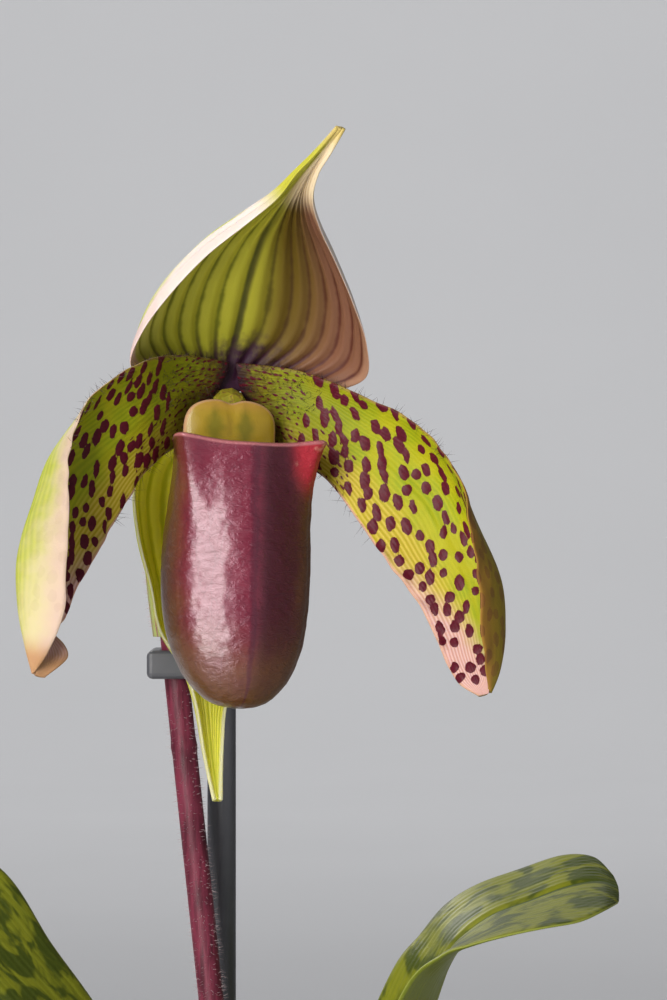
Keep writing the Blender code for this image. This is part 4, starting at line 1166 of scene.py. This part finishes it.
BOW_POINTS = 90
knob, face = bloom_to_world(((0, 9, -0.8), (0, 5.4, -0.8)))
ahead = unit(face - knob)
ovary_foot = np.array((-29, 4.9, 238.5))
bow = bezier(ovary_foot, ovary_foot + (-0.6, 0.4, 17), knob - ahead * 12, knob, BOW_POINTS)
to_face = np.linspace(0.1, 1, 10)
ovary_path = np.concatenate([bow, [knob + (face - knob) * share for share in to_face]])
ovary_girth = np.concatenate([
    np.interp(np.linspace(0, 1, BOW_POINTS), (0, 0.12, 0.55, 0.9, 1), (2.1, 2.5, 3.1, 3.3, 3.9)),
    np.interp(to_face, (0, 0.35, 0.7, 1), (3.9, 4.1, 3.8, 2.9))])
ovary_girth = rounded_ends(ovary_girth * 0.98, ovary_path, 0.5, 0.6)
ovary_skin = stem_finish("ovary_skin", (0.10, 0.030, 0.020), (0.28, 0.20, 0.05))
ovary = rod_piece("ovary_skin", ovary_path, ovary_girth, 48, ovary_skin)
print("ovary:", round(float(run_along(ovary_path)[-1]), 1), "mm long")
stand_for(ovary, "stem", "ovary")

# %% Stake and clip
STAKE_AT = (-19.6, 14.0)
STAKE_FOOT, STAKE_TOP, STAKE_RADIUS = 12, 236, 2.5
stake_path = np.array([(*STAKE_AT, z) for z in np.linspace(STAKE_FOOT, STAKE_TOP, 120)])
stake_girth = rounded_ends(np.full(len(stake_path), STAKE_RADIUS), stake_path, 1.5, 1.5)
grey_skin = Finish("support_plastic")
grey = grey_skin.blend(grey_skin.noise(6.0), (0.060, 0.062, 0.075), (0.095, 0.097, 0.112))
grey_skin.wear("Base Color", grey)
grey_skin.wear("Roughness", 0.36 + grey_skin.noise(1.5, 4.0) * 0.2)
grey_skin.wear("Normal", grey_skin.bump(grey_skin.noise(0.25, 3.0), 0.03))
stake = rod_piece("stake_skin", stake_path, stake_girth, 40, grey_skin)
stand_for(stake, "support", "stake")
dress_node("stem_clip", grey_skin)

# %% [markdown]
# ## Leaves and bract
# The leaves are straps with a folded midrib. Their upper side is mottled in two greens, in patches
# that run along the leaf between its fine parallel veins, and the underside is plain and paler.

# %% Rows of the two leaves in view: far margin, midrib and near margin
LEAVES = {
    "leaf_right_upper": (
        ((-10.2, 6.6, 82.5), (-6.8, 1.6, 82.5), (-10.2, -3.4, 82.5)),
        ((-7.6, 9.4, 101.5), (-3.4, 2.6, 99), (-7.6, -4.4, 101.5)),
        ((-2.2, 12.6, 126), (3.2, 3.8, 120), (-1.6, -6, 125.4)),
        ((3, 15, 148.5), (10.2, 4.6, 142.5), (4.6, -7.6, 148)),
        ((10.1, 16.6, 166.9), (17, 5, 163), (12.2, -8.4, 166.7)),
        ((15.4, 17.4, 173.8), (20, 5.2, 170.6), (18.3, -9.4, 172.4)),
        ((19.8, 18, 178.6), (23.2, 5.6, 174.6), (23, -10.2, 174.2)),
        ((25.6, 19, 182.2), (28, 6.5, 178), (29.2, -10.4, 175.8)),
        ((32.8, 19.6, 184.9), (34, 7.5, 180.2), (35.6, -9.6, 177)),
        ((40.4, 19.4, 187.4), (40.6, 8.8, 182.4), (41.8, -6.6, 177.9)),
        ((45.8, 17.6, 187.2), (46, 9.8, 183), (46.4, -1.6, 179.3)),
        ((48.8, 14.4, 184.2), (49.4, 10.4, 181.9), (49.2, 5, 180)),
    ),
    "leaf_left_upper": (
        ((-14.6, 6.6, 82.5), (-18.2, 1.6, 82.5), (-14.6, -3.4, 82.5)),
        ((-17.2, 6.4, 101), (-20.4, 0.4, 100), (-17.4, -6, 101)),
        ((-22.8, 3.6, 127), (-27, -6, 122), (-26, -15.6, 121)),
        ((-31.5, -2, 149), (-37.6, -13.6, 141.6), (-37.8, -26, 135)),
        ((-41.1, -10, 165.3), (-48.6, -21, 157.6), (-51, -33.6, 148)),
        ((-47.7, -14, 175), (-57.4, -25.6, 168.4), (-62, -38.4, 157)),
        ((-56.1, -18, 188.1), (-67.4, -30, 179.6), (-73.6, -42, 167)),
        ((-70, -23, 195.2), (-80.6, -35, 185.6), (-86.4, -45, 173.6)),
        ((-86, -30, 194), (-93.2, -39, 185.2), (-97.8, -46, 175.4)),
        ((-99, -37.6, 187), (-102, -42, 181.4), (-104.6, -45.6, 175.2)),
        ((-106.8, -43, 179.2), (-107.4, -44, 177.6), (-107.8, -44.8, 175.8)),
    ),
}
# The leaves out of view: heading and climb in degrees, length, half width
OUTER_LEAVES = {
    "leaf_right_front": (-46, (80, 66, 46, 26, 6, -12, -26), 122, 17),
    "leaf_right_back": (46, (80, 64, 46, 26, 4, -14, -26), 126, 17.6),
    "leaf_left_front": (238, (78, 62, 40, 20, 0, -14, -24), 112, 16.5),
}
CROWN = np.array((-11.0, 1.4, 82.0))
OUTER_FOOT = 9.4
LEAF_STEPS = 12
LEAF_SAG = 0.12
LEAF_THICK = (1.4, 0.7)
OUTER_WIDTHS = (0.20, 0.40, 0.78, 1, 0.97, 0.76, 0.12)
OUTER_FOLDS = (30, 40, 32, 24, 16, 12, 6)
print("leaves:", len(LEAVES), "in view and", len(OUTER_LEAVES), "guessed")


# %% Rows of the other leaves
def leaf_row(far, middle, near):
    far, middle, near = np.array(far), np.array(middle), np.array(near)
    sag = (middle - (far + near) / 2) * LEAF_SAG
    return (far, (far + middle) / 2 + sag, middle, (near + middle) / 2 + sag, near)


def outer_leaf(heading, climbs, length, half_width):
    """Rows of a leaf that arches out from the crown in one direction."""
    last = len(climbs) - 1
    steps = np.linspace(0, 1, LEAF_STEPS * last + 1)
    climb = np.radians(through(climbs, steps))
    turn = math.radians(heading)
    out, up = np.array((math.cos(turn), math.sin(turn), 0.0)), np.array((0.0, 0.0, 1.0))
    across = np.cross(up, out)
    ways = np.outer(np.cos(climb), out) + np.outer(np.sin(climb), up)
    run = np.cumsum((ways[1:] + ways[:-1]) / 2 * length / (len(steps) - 1), axis=0)
    spine = CROWN + out * OUTER_FOOT + up * 0.6 + np.concatenate([[np.zeros(3)], run])
    rows = []
    for middle, along, share, fold in zip(spine[::LEAF_STEPS], ways[::LEAF_STEPS], OUTER_WIDTHS, OUTER_FOLDS):
        width = half_width * share
        lift = np.cross(along, across) * width * math.sin(math.radians(fold))
        reach = across * width * math.cos(math.radians(fold))
        rows.append((middle + reach + lift, middle, middle - reach + lift))
    return rows


# %% Leaf meshes
LEAF_VEINS = 10
LEAF_RIB, LEAF_FOLD, LEAF_BILLOW = 0.05, 0.45, 0.4


def leaf_piece(name, rows, seed, finish, flip):
    blade = Blade([leaf_row(*row) for row in rows], 190, 30, flip=flip)
    ribs = LEAF_RIB * np.cos(2 * math.pi * blade.share * LEAF_VEINS)
    ribs *= 1 - smooth(np.abs(blade.share), 0.8, 1.0)
    middle = np.exp(-((blade.across / 0.9) ** 2)) * (1 - smooth(blade.way, 0.8, 1.0))
    billow = noise_at(blade.grid, 16.0, seed) * LEAF_BILLOW * smooth(blade.way, 0.1, 0.3)
    half = half_thickness(blade, LEAF_THICK, 0.08)
    upper = blade.offset(half + ribs - LEAF_FOLD * middle + billow)
    under = blade.offset(-(half - ribs + 0.10 * middle - billow))
    marks = blade.marks(shift=np.full(blade.share.shape, float(seed * 37)))
    return closed_sheet(name + "_skin", upper, under, marks, finish)


# %% Leaf finish
def leaf_finish():
    skin = Finish(
        "leaf_skin", Subsurface_Weight=0.06, Subsurface_Scale=0.001, Subsurface_Radius=(0.7, 1.0, 0.2),
        Specular_IOR_Level=0.3)
    along, across, edge, face, shift = skin.marks("along across edge face shift")
    patches = skin.noise(1.0, 2.0, skin.vector(along * 0.13 + shift, across * 0.27), warp=0.9)
    finer = skin.noise(1.0, 3.0, skin.vector(along * 0.55 + shift, across * 1.3, 3.0))
    dark = skin.between(patches + (finer - 0.5) * 0.18, 0.42, 0.60)
    pale_green = skin.blend(finer, (0.17, 0.19, 0.008), (0.24, 0.25, 0.015))
    dark_green = skin.blend(finer, (0.040, 0.060, 0.004), (0.075, 0.095, 0.006))
    top = skin.blend(dark, pale_green, dark_green)
    lines = skin.lines(across * 0.9)
    top = skin.blend(skin.between(lines, 0.30, 0.02) * 0.2, top, (0.05, 0.07, 0.008))
    top = skin.blend(skin.between(abs(across), 0.55, 0.2), top, (0.06, 0.09, 0.010))
    top = skin.blend(skin.between(edge, 0.45, 0.15), top, (0.26, 0.29, 0.05))
    below = skin.blend(finer, (0.17, 0.21, 0.015), (0.24, 0.27, 0.03))
    below = skin.blend(skin.between(abs(across), 1.1, 0.5), below, (0.28, 0.31, 0.06))
    skin.wear("Base Color", skin.blend(face, below, top))
    skin.wear("Roughness", 0.34 + finer * 0.14)
    skin.wear("Normal", skin.bump(lines, 0.03, skin.bump(skin.noise(0.7, 4.0), 0.05)))
    return skin


# %% All five leaves
leaf_skin = leaf_finish()
shapes = {name: (rows, -1 if "left" in name else 1) for name, rows in LEAVES.items()}
shapes.update({name: (outer_leaf(*shape), 1) for name, shape in OUTER_LEAVES.items()})
for number, (name, (rows, flip)) in enumerate(shapes.items()):
    stand_for(leaf_piece(name, rows, number + 1, leaf_skin, flip), "leaf", name)

# %% Bract
BRACT = (
    ((-27.6, 1.3, 226.4), (-30.9, 1.3, 226.4), (-30.9, 4.4, 226.4), (-30.9, 7.5, 226.4), (-27.6, 7.5, 226.4)),
    ((-28, 1.5, 233), (-31.8, 1.4, 233), (-31.8, 4.8, 233), (-31.8, 8.1, 233), (-28, 8, 233)),
    ((-28.6, 1.5, 239.6), (-32.5, 1.4, 239.6), (-32.5, 4.9, 239.8), (-32.5, 8.4, 239.6), (-28.6, 8.3, 239.6)),
    ((-30.4, 0.6, 246.4), (-33, 1.2, 246.4), (-33.1, 4.4, 246.6), (-33, 7.8, 246.4), (-30.4, 8, 246.4)),
    ((-32.4, 1.6, 252), (-33.4, 2, 252.2), (-33.6, 3.8, 252.4), (-33.4, 5.6, 252.2), (-32.4, 6, 252)),
    ((-34, 2.8, 256.4), (-34.1, 3, 256.4), (-34.2, 3.4, 256.5), (-34.1, 3.8, 256.4), (-34, 4, 256.4)),
)
BRACT_THICK = (0.7, 0.5)
bract_skin = Finish("bract_skin", Roughness=0.5, Subsurface_Weight=0.15, Subsurface_Scale=0.001)
(bract_across,) = bract_skin.marks("across")
bract_lines = bract_skin.lines(bract_across * 0.8)
bract_skin.wear("Base Color", bract_skin.blend(
    bract_skin.between(bract_lines, 0.4, 0.1), (0.34, 0.38, 0.12), (0.26, 0.12, 0.10)))
bract_skin.wear("Normal", bract_skin.bump(bract_lines, 0.06))
bract_blade = Blade(BRACT, 90, 26)
bract_half = half_thickness(bract_blade, BRACT_THICK)
bract_front, bract_back = bract_blade.offset(bract_half), bract_blade.offset(-bract_half)
bract = closed_sheet("bract_skin", bract_front, bract_back, bract_blade.marks(), bract_skin)
stand_for(bract, "leaf", "bract")

# %% [markdown]
# ## The pot
# A plain nursery pot is a turned form: an outline of radius and height, spun round the axis. The
# solid has 40 sides, so it is spun again here finely, with rounded edges and its five drain holes.

# %% Outlines with rounded corners
def fillet(corner, before, after, radius, count=5):
    """Points that round off a corner of an outline."""
    corner, before, after = np.array(corner), np.array(before), np.array(after)
    start, end = corner + unit(before - corner) * radius, corner + unit(after - corner) * radius
    t = np.linspace(0, 1, count)[:, None]
    return [tuple(p) for p in start * (1 - t) ** 2 + 2 * corner * t * (1 - t) + end * t * t]


def rounded_outline(corners, radii):
    """An outline whose inner corners are rounded by the radii given for them."""
    made = [corners[0]]
    for before, corner, after, radius in zip(corners, corners[1:], corners[2:], radii):
        made += fillet(corner, before, after, radius) if radius else [corner]
    return made + [corners[-1]]


def turned(name, outline, sides, finish):
    """Spins an outline of (radius, height) round the axis; its ends lie on the axis."""
    c, s = np.cos(around_axis(sides)), np.sin(around_axis(sides))
    rings = [np.stack([r * c, r * s, np.full(sides, z)], 1) for r, z in outline[1:-1]]
    points, faces = capped_rings(np.array(rings))
    points[0], points[-1] = (0, 0, outline[0][1]), (0, 0, outline[-1][1])
    return closed_piece(name, points, faces, finish)


# %% Pot finish
def pot_finish():
    skin = Finish("pot_plastic")
    smear = skin.noise(25.0, 4.0)
    dust = skin.between(skin.noise(1.0, 5.0) + smear * 0.4, 0.66, 0.85)
    black = skin.blend(smear, (0.030, 0.031, 0.034), (0.046, 0.048, 0.052))
    skin.wear("Base Color", skin.blend(dust * 0.5, black, (0.12, 0.10, 0.08)))
    skin.wear("Roughness", 0.46 + smear * 0.16)
    sockets = {"Vector": skin.place(), "Scale": 300.0}
    rings = skin.node("ShaderNodeTexWave", {"bands_direction": "Z"}, sockets, out="Fac")
    skin.wear("Normal", skin.bump(skin.noise(0.5, 3.0), 0.04, skin.bump(rings, 0.02)))
    return skin


# %% Pot
POT_HEIGHT, POT_RIM, POT_FOOT, POT_WALL, POT_FLOOR = 95.0, 55.0, 40.0, 1.8, 2.6
POT_LIP, POT_LIP_DEPTH = 2.2, 9.0
# The foot ring round the hollow below the floor: its inner and outer start, and how high the hollow is
HOLLOW_FROM, FOOT_FROM, HOLLOW_HEIGHT, FOOT_HEIGHT = 30, 33, 1.0, 2.4


def pot_radius(height):
    return POT_FOOT + (POT_RIM - POT_LIP - POT_FOOT) * height / POT_HEIGHT


lip_foot = POT_HEIGHT - POT_LIP_DEPTH
pot_corners = [
    (0, HOLLOW_HEIGHT), (HOLLOW_FROM, HOLLOW_HEIGHT), (FOOT_FROM, 0),
    (POT_FOOT - 0.4, 0), (POT_FOOT + 0.4, FOOT_HEIGHT), (pot_radius(lip_foot), lip_foot),
    (POT_RIM, lip_foot + 0.6), (POT_RIM, POT_HEIGHT), (pot_radius(POT_HEIGHT) - POT_WALL, POT_HEIGHT),
    (pot_radius(POT_FLOOR) - POT_WALL, POT_FLOOR), (0, POT_FLOOR),
]
pot_outline = rounded_outline(pot_corners, [0, 0, 0.9, 0.9, 0.9, 0.7, 0.7, 0.7, 1.2])
pot = turned("pot_skin", pot_outline, 144, pot_finish())

# %% Drain holes
HOLES, HOLE_RADIUS, HOLE_CIRCLE, HOLE_TURN = 5, 4.0, 24, 0.4


def bore(target, radius, at, low, high):
    """Cuts one plain hole down through the piece."""
    middle = Vector((*at, (low + high) / 2)) * MM
    bpy.ops.mesh.primitive_cylinder_add(
        vertices=48, radius=radius * MM, depth=(high - low) * MM, location=middle)
    drill = bpy.context.object
    cut = target.modifiers.new("hole", "BOOLEAN")
    cut.operation, cut.object, cut.solver = "DIFFERENCE", drill, "EXACT"
    bpy.context.view_layer.update()
    mesh = bpy.data.meshes.new_from_object(target.evaluated_get(bpy.context.evaluated_depsgraph_get()))
    target.modifiers.clear()
    target.data = mesh
    bpy.data.objects.remove(drill)


for k in range(HOLES):
    angle = 2 * math.pi * (k + HOLE_TURN) / HOLES
    bore(pot, HOLE_RADIUS, (HOLE_CIRCLE * math.cos(angle), HOLE_CIRCLE * math.sin(angle)), -2.0, 6.0)
pot.data.set_sharp_from_angle(angle=math.radians(50))
stand_for(pot, "pot", "pot")

# %% [markdown]
# ## Bark
# Orchids grow in chips of bark. One chip is modelled, and a node tree scatters it over a bed with a
# fixed seed, each turned and sized by chance, and makes the copies real at the end.


# %% Bark finish
def bark_finish(name, first, second, third):
    skin = Finish(name)
    grain = skin.noise(1.0, 5.0, skin.stretched((240.0, 900.0, 900.0)), rough=0.6)
    tone = grain * 0.6 + skin.noise(4.0, 3.0) * 0.4
    skin.wear("Base Color", skin.ramp(tone, [(0.3, first), (0.5, second), (0.72, third)]))
    skin.wear("Roughness", 0.78 + grain * 0.2)
    skin.wear("Normal", skin.bump(grain, 0.5, skin.bump(skin.noise(0.5, 4.0), 0.2)))
    return skin


# %% One chip and the bed
CHIP_SHAPE = (1.25, 0.8, 0.42)
# Where the noise is read for each direction: fixed places, so that every run makes the same chip
CHIP_SHIFTS = (3.1, 17.7, 41.3)
BED_FLOOR, BED_EDGE, BED_TOP, BED_GAP = 2.9, 79, 80, 2.1


def chip_mesh():
    """A rough flat block, its corners knocked off and its faces split along the grain."""
    bpy.ops.mesh.primitive_cube_add(size=1)
    chip = bpy.context.object
    shell = bmesh.new()
    shell.from_mesh(chip.data)
    bmesh.ops.subdivide_edges(shell, edges=shell.edges[:], cuts=3, use_grid_fill=True)
    for vert in shell.verts:
        place = vert.co.copy()
        knock = 1 - 0.35 * max(0, place.length - 0.62)
        rough = Vector([noise.noise(place * 2.3 + Vector((shift, 0, 0))) for shift in CHIP_SHIFTS]) * 0.13
        vert.co = place * Vector(CHIP_SHAPE) * knock + rough * 0.6
    shell.to_mesh(chip.data)
    shell.free()
    return chip


bark_skin = bark_finish("bark_skin", (0.035, 0.016, 0.008), (0.14, 0.065, 0.030), (0.30, 0.17, 0.09))
chip = chip_mesh()
bed_corners = [(0, BED_FLOOR), *((pot_radius(z) - BED_GAP, z) for z in (BED_FLOOR, BED_EDGE)), (0, BED_TOP)]
bed = turned("bark_bed", rounded_outline(bed_corners, [1.0, 2.0]), 96, bark_skin)

# %% The tree that scatters chips over the bed
CHIP_TILT = 0.7
DENSEST = 90000.0

scatter, scatter_in = geometry_tree("scatter_chips", [
    ("Spacing", "NodeSocketFloat", 0.006), ("Size", "NodeSocketFloat", 0.010), ("Seed", "NodeSocketInt", 4),
    ("Chip", "NodeSocketObject", None), ("Material", "NodeSocketMaterial", None)])
chip_seed = scatter_in.output("Seed")
dots = scatter.node("GeometryNodeDistributePointsOnFaces", {"distribute_method": "POISSON"}, {
    "Mesh": scatter_in, "Distance Min": scatter_in.output("Spacing"), "Density Max": DENSEST,
    "Seed": chip_seed})
turn_by = scatter.node("FunctionNodeRandomValue", {"data_type": "FLOAT_VECTOR"}, {
    "Min": (-CHIP_TILT, -CHIP_TILT, 0.0), "Max": (CHIP_TILT, CHIP_TILT, 6.28), "Seed": chip_seed})
size_by = scatter.node("FunctionNodeRandomValue", {"data_type": "FLOAT"}, {
    2: 0.55, 3: 1.15, "Seed": chip_seed + 3.0}, out=1) * scatter_in.output("Size")
one_chip = scatter.node(
    "GeometryNodeObjectInfo", None, {"Object": scatter_in.output("Chip")}, out="Geometry")
chips = scatter.node("GeometryNodeInstanceOnPoints", None, {
    "Points": dots, "Instance": one_chip, "Scale": size_by,
    "Rotation": scatter.node("FunctionNodeEulerToRotation", None, {0: turn_by})})
end_tree(scatter, chips, scatter_in.output("Material"))


# %% Bark: bed and chips made one piece
CROWN_ROOM, STAKE_ROOM = 15.0, 6.0
# Each layer's radius, height, spacing, size of chip and seed
CHIP_LAYERS = ((44.5, 80.4, 5.0, 10.0, 4), (43.5, 82.2, 8.0, 9.0, 11))


def ring_of_ground(radius, height, keep_out, step=1.5):
    """A flat mesh of small squares inside radius, left open round what stands in the bark."""
    corners, faces = [], []
    for x in np.arange(-radius, radius, step):
        for y in np.arange(-radius, radius, step):
            clear = all(math.hypot(x - px, y - py) > pr for px, py, pr in keep_out)
            if math.hypot(x, y) < radius and clear:
                k = len(corners)
                corners += [(x + i * step, y + j * step, height) for i, j in ((0, 0), (1, 0), (1, 1), (0, 1))]
                faces.append((k, k + 1, k + 2, k + 3))
    return mesh_from("ground", corners, faces)


def joined(name, pieces):
    """Several mesh objects made one."""
    bpy.ops.object.select_all(action="DESELECT")
    for piece in pieces:
        piece.select_set(True)
    bpy.context.view_layer.objects.active = pieces[0]
    bpy.ops.object.join()
    pieces[0].name = name
    return pieces[0]


standing = [(CROWN[0], CROWN[1], CROWN_ROOM), (*STAKE_AT, STAKE_ROOM)]
layers = [grown("chips", ring_of_ground(radius, z, standing), scatter.tree, {
    "Spacing": spacing * MM, "Size": size * MM, "Seed": seed, "Chip": chip, "Material": bark_skin.material})
    for radius, z, spacing, size, seed in CHIP_LAYERS]
bpy.data.objects.remove(chip)
bark = joined("bark_chips", [bed, *layers])
stand_for(bark, "bark", "bark")
root_skin = bark_finish("root_felt", (0.07, 0.035, 0.02), (0.20, 0.12, 0.065), (0.36, 0.26, 0.16))
dress_node("crown_and_roots", root_skin)

# %% [markdown]
# ## Hairs
# Scape, ovary and bract are downy, and the petals carry dark hairs along their upper margin, low on
# their near margin and over their base. A hair is a thin three-sided cone. One node tree sets it on
# a surface at random points, leaning by chance.

# %% The tree that grows hairs
down, down_in = geometry_tree("downy_hairs", [
    ("Per square mm", "NodeSocketFloat", 1.0), ("Length", "NodeSocketFloat", 0.0009),
    ("Thickness", "NodeSocketFloat", 0.00003), ("Lean", "NodeSocketFloat", 0.5),
    ("Seed", "NodeSocketInt", 2), ("Material", "NodeSocketMaterial", None)])
hair_seed = down_in.output("Seed")
where_hairs = down.node("GeometryNodeInputNamedAttribute", {"data_type": "FLOAT"}, {"Name": "hair"})
density = down_in.output("Per square mm") * where_hairs * 1e6
roots = down.node("GeometryNodeDistributePointsOnFaces", {"distribute_method": "RANDOM"}, {
    "Mesh": down_in, "Density": density, "Seed": hair_seed})
cone = down.node("GeometryNodeMeshCone", {"fill_type": "TRIANGLE_FAN"}, {
    "Vertices": 3, "Side Segments": 2, "Radius Top": 0.0, "Radius Bottom": down_in.output("Thickness"),
    "Depth": down_in.output("Length")})
any_way = down.node("FunctionNodeRandomValue", {"data_type": "FLOAT_VECTOR"}, {
    "Min": (-1.0, -1.0, -3.1), "Max": (1.0, 1.0, 3.1), "Seed": hair_seed})
lean_by = down.node("ShaderNodeVectorMath", {"operation": "SCALE"}, {
    0: any_way, "Scale": down_in.output("Lean")})
standing_up = down.node("FunctionNodeRotateRotation", {"rotation_space": "LOCAL"}, {
    "Rotation": roots.output("Rotation"),
    "Rotate By": down.node("FunctionNodeEulerToRotation", None, {0: lean_by})})
tall = down.node("FunctionNodeRandomValue", {"data_type": "FLOAT"}, {
    2: 0.6, 3: 1.25, "Seed": hair_seed + 5.0}, out=1)
hairs_made = down.node("GeometryNodeInstanceOnPoints", None, {
    "Points": roots, "Instance": cone, "Rotation": standing_up,
    "Scale": down.node("ShaderNodeCombineXYZ", None, {0: 1.0, 1: 1.0, 2: tall})})
end_tree(down, hairs_made, down_in.output("Material"))


# %% Hairs on the stems
HAIR_INPUTS = ("Per square mm", "Length", "Thickness", "Lean", "Seed")
FINE, STOUT = 0.00003, 0.00004
CLIP_HEIGHT, CLIP_ROOM = 221.6, 4.0
DOWN_FROM = {"scape": 88, "ovary": 240, "bract": 228}


def hairs_on(name, piece, share, finish, values):
    """Grows hairs on a copy of the piece; share tells how thickly they stand at each point, from 0 to 1."""
    skin = piece.data.copy()
    add_marks(skin, {"hair": share})
    made = grown(name, skin, down.tree, dict(zip(HAIR_INPUTS, values)) | {"Material": finish.material})
    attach(made, "root")
    print(name, "has", len(made.data.polygons), "faces")


def heights(piece):
    return np.array([v.co.z for v in piece.data.vertices]) / MM


def hair_finish(name, first, second):
    skin = Finish(name, Roughness=0.5)
    skin.wear("Base Color", skin.blend(skin.noise(3.0), first, second))
    return skin


pale_hair = hair_finish("pale_hair", (0.45, 0.30, 0.34), (0.62, 0.50, 0.50))
dark_hair = hair_finish("dark_hair", (0.03, 0.008, 0.012), (0.06, 0.02, 0.02))
clear_of_clip = np.abs(heights(scape) - CLIP_HEIGHT) > CLIP_ROOM
on_scape = clear_of_clip & (heights(scape) > DOWN_FROM["scape"])
on_ovary, on_bract = heights(ovary) > DOWN_FROM["ovary"], heights(bract) > DOWN_FROM["bract"]
hairs_on("scape_down", scape, on_scape, pale_hair, (1.3, 0.0010, FINE, 0.45, 3))
hairs_on("ovary_down", ovary, on_ovary, pale_hair, (1.3, 0.0007, FINE, 0.45, 5))
hairs_on("bract_down", bract, on_bract, pale_hair, (1.5, 0.0009, FINE, 0.5, 7))

# %% Dark hairs on the petals' margins and bases
def read_mark(piece, name):
    mark = piece.data.attributes[name]
    values = np.empty(len(mark.data), np.float32)
    mark.data.foreach_get("value", values)
    return values


for piece, seed in ((petal_left, 9), (petal_right, 13)):
    way, share, edge = (read_mark(piece, name) for name in ("way", "share", "edge"))
    places = {
        "fringe": (edge < 0.35) & (share < 0) & (way > 0.04) & (way < 0.45),
        "tuft": (edge < 0.6) & (share > 0) & (way > 0.03) & (way < 0.36),
        "heart": (way > 0.008) & (way < 0.16) & (share < 0.2),
    }
    kinds = {
        "fringe": (3.0, 0.0016, STOUT, 0.7, seed),
        "tuft": (1.4, 0.0024, STOUT, 0.9, seed + 1),
        "heart": (1.6, 0.0015, STOUT, 1.1, seed + 2),
    }
    for kind, values in kinds.items():
        hairs_on(piece.name.replace("skin", kind), piece, places[kind], dark_hair, values)
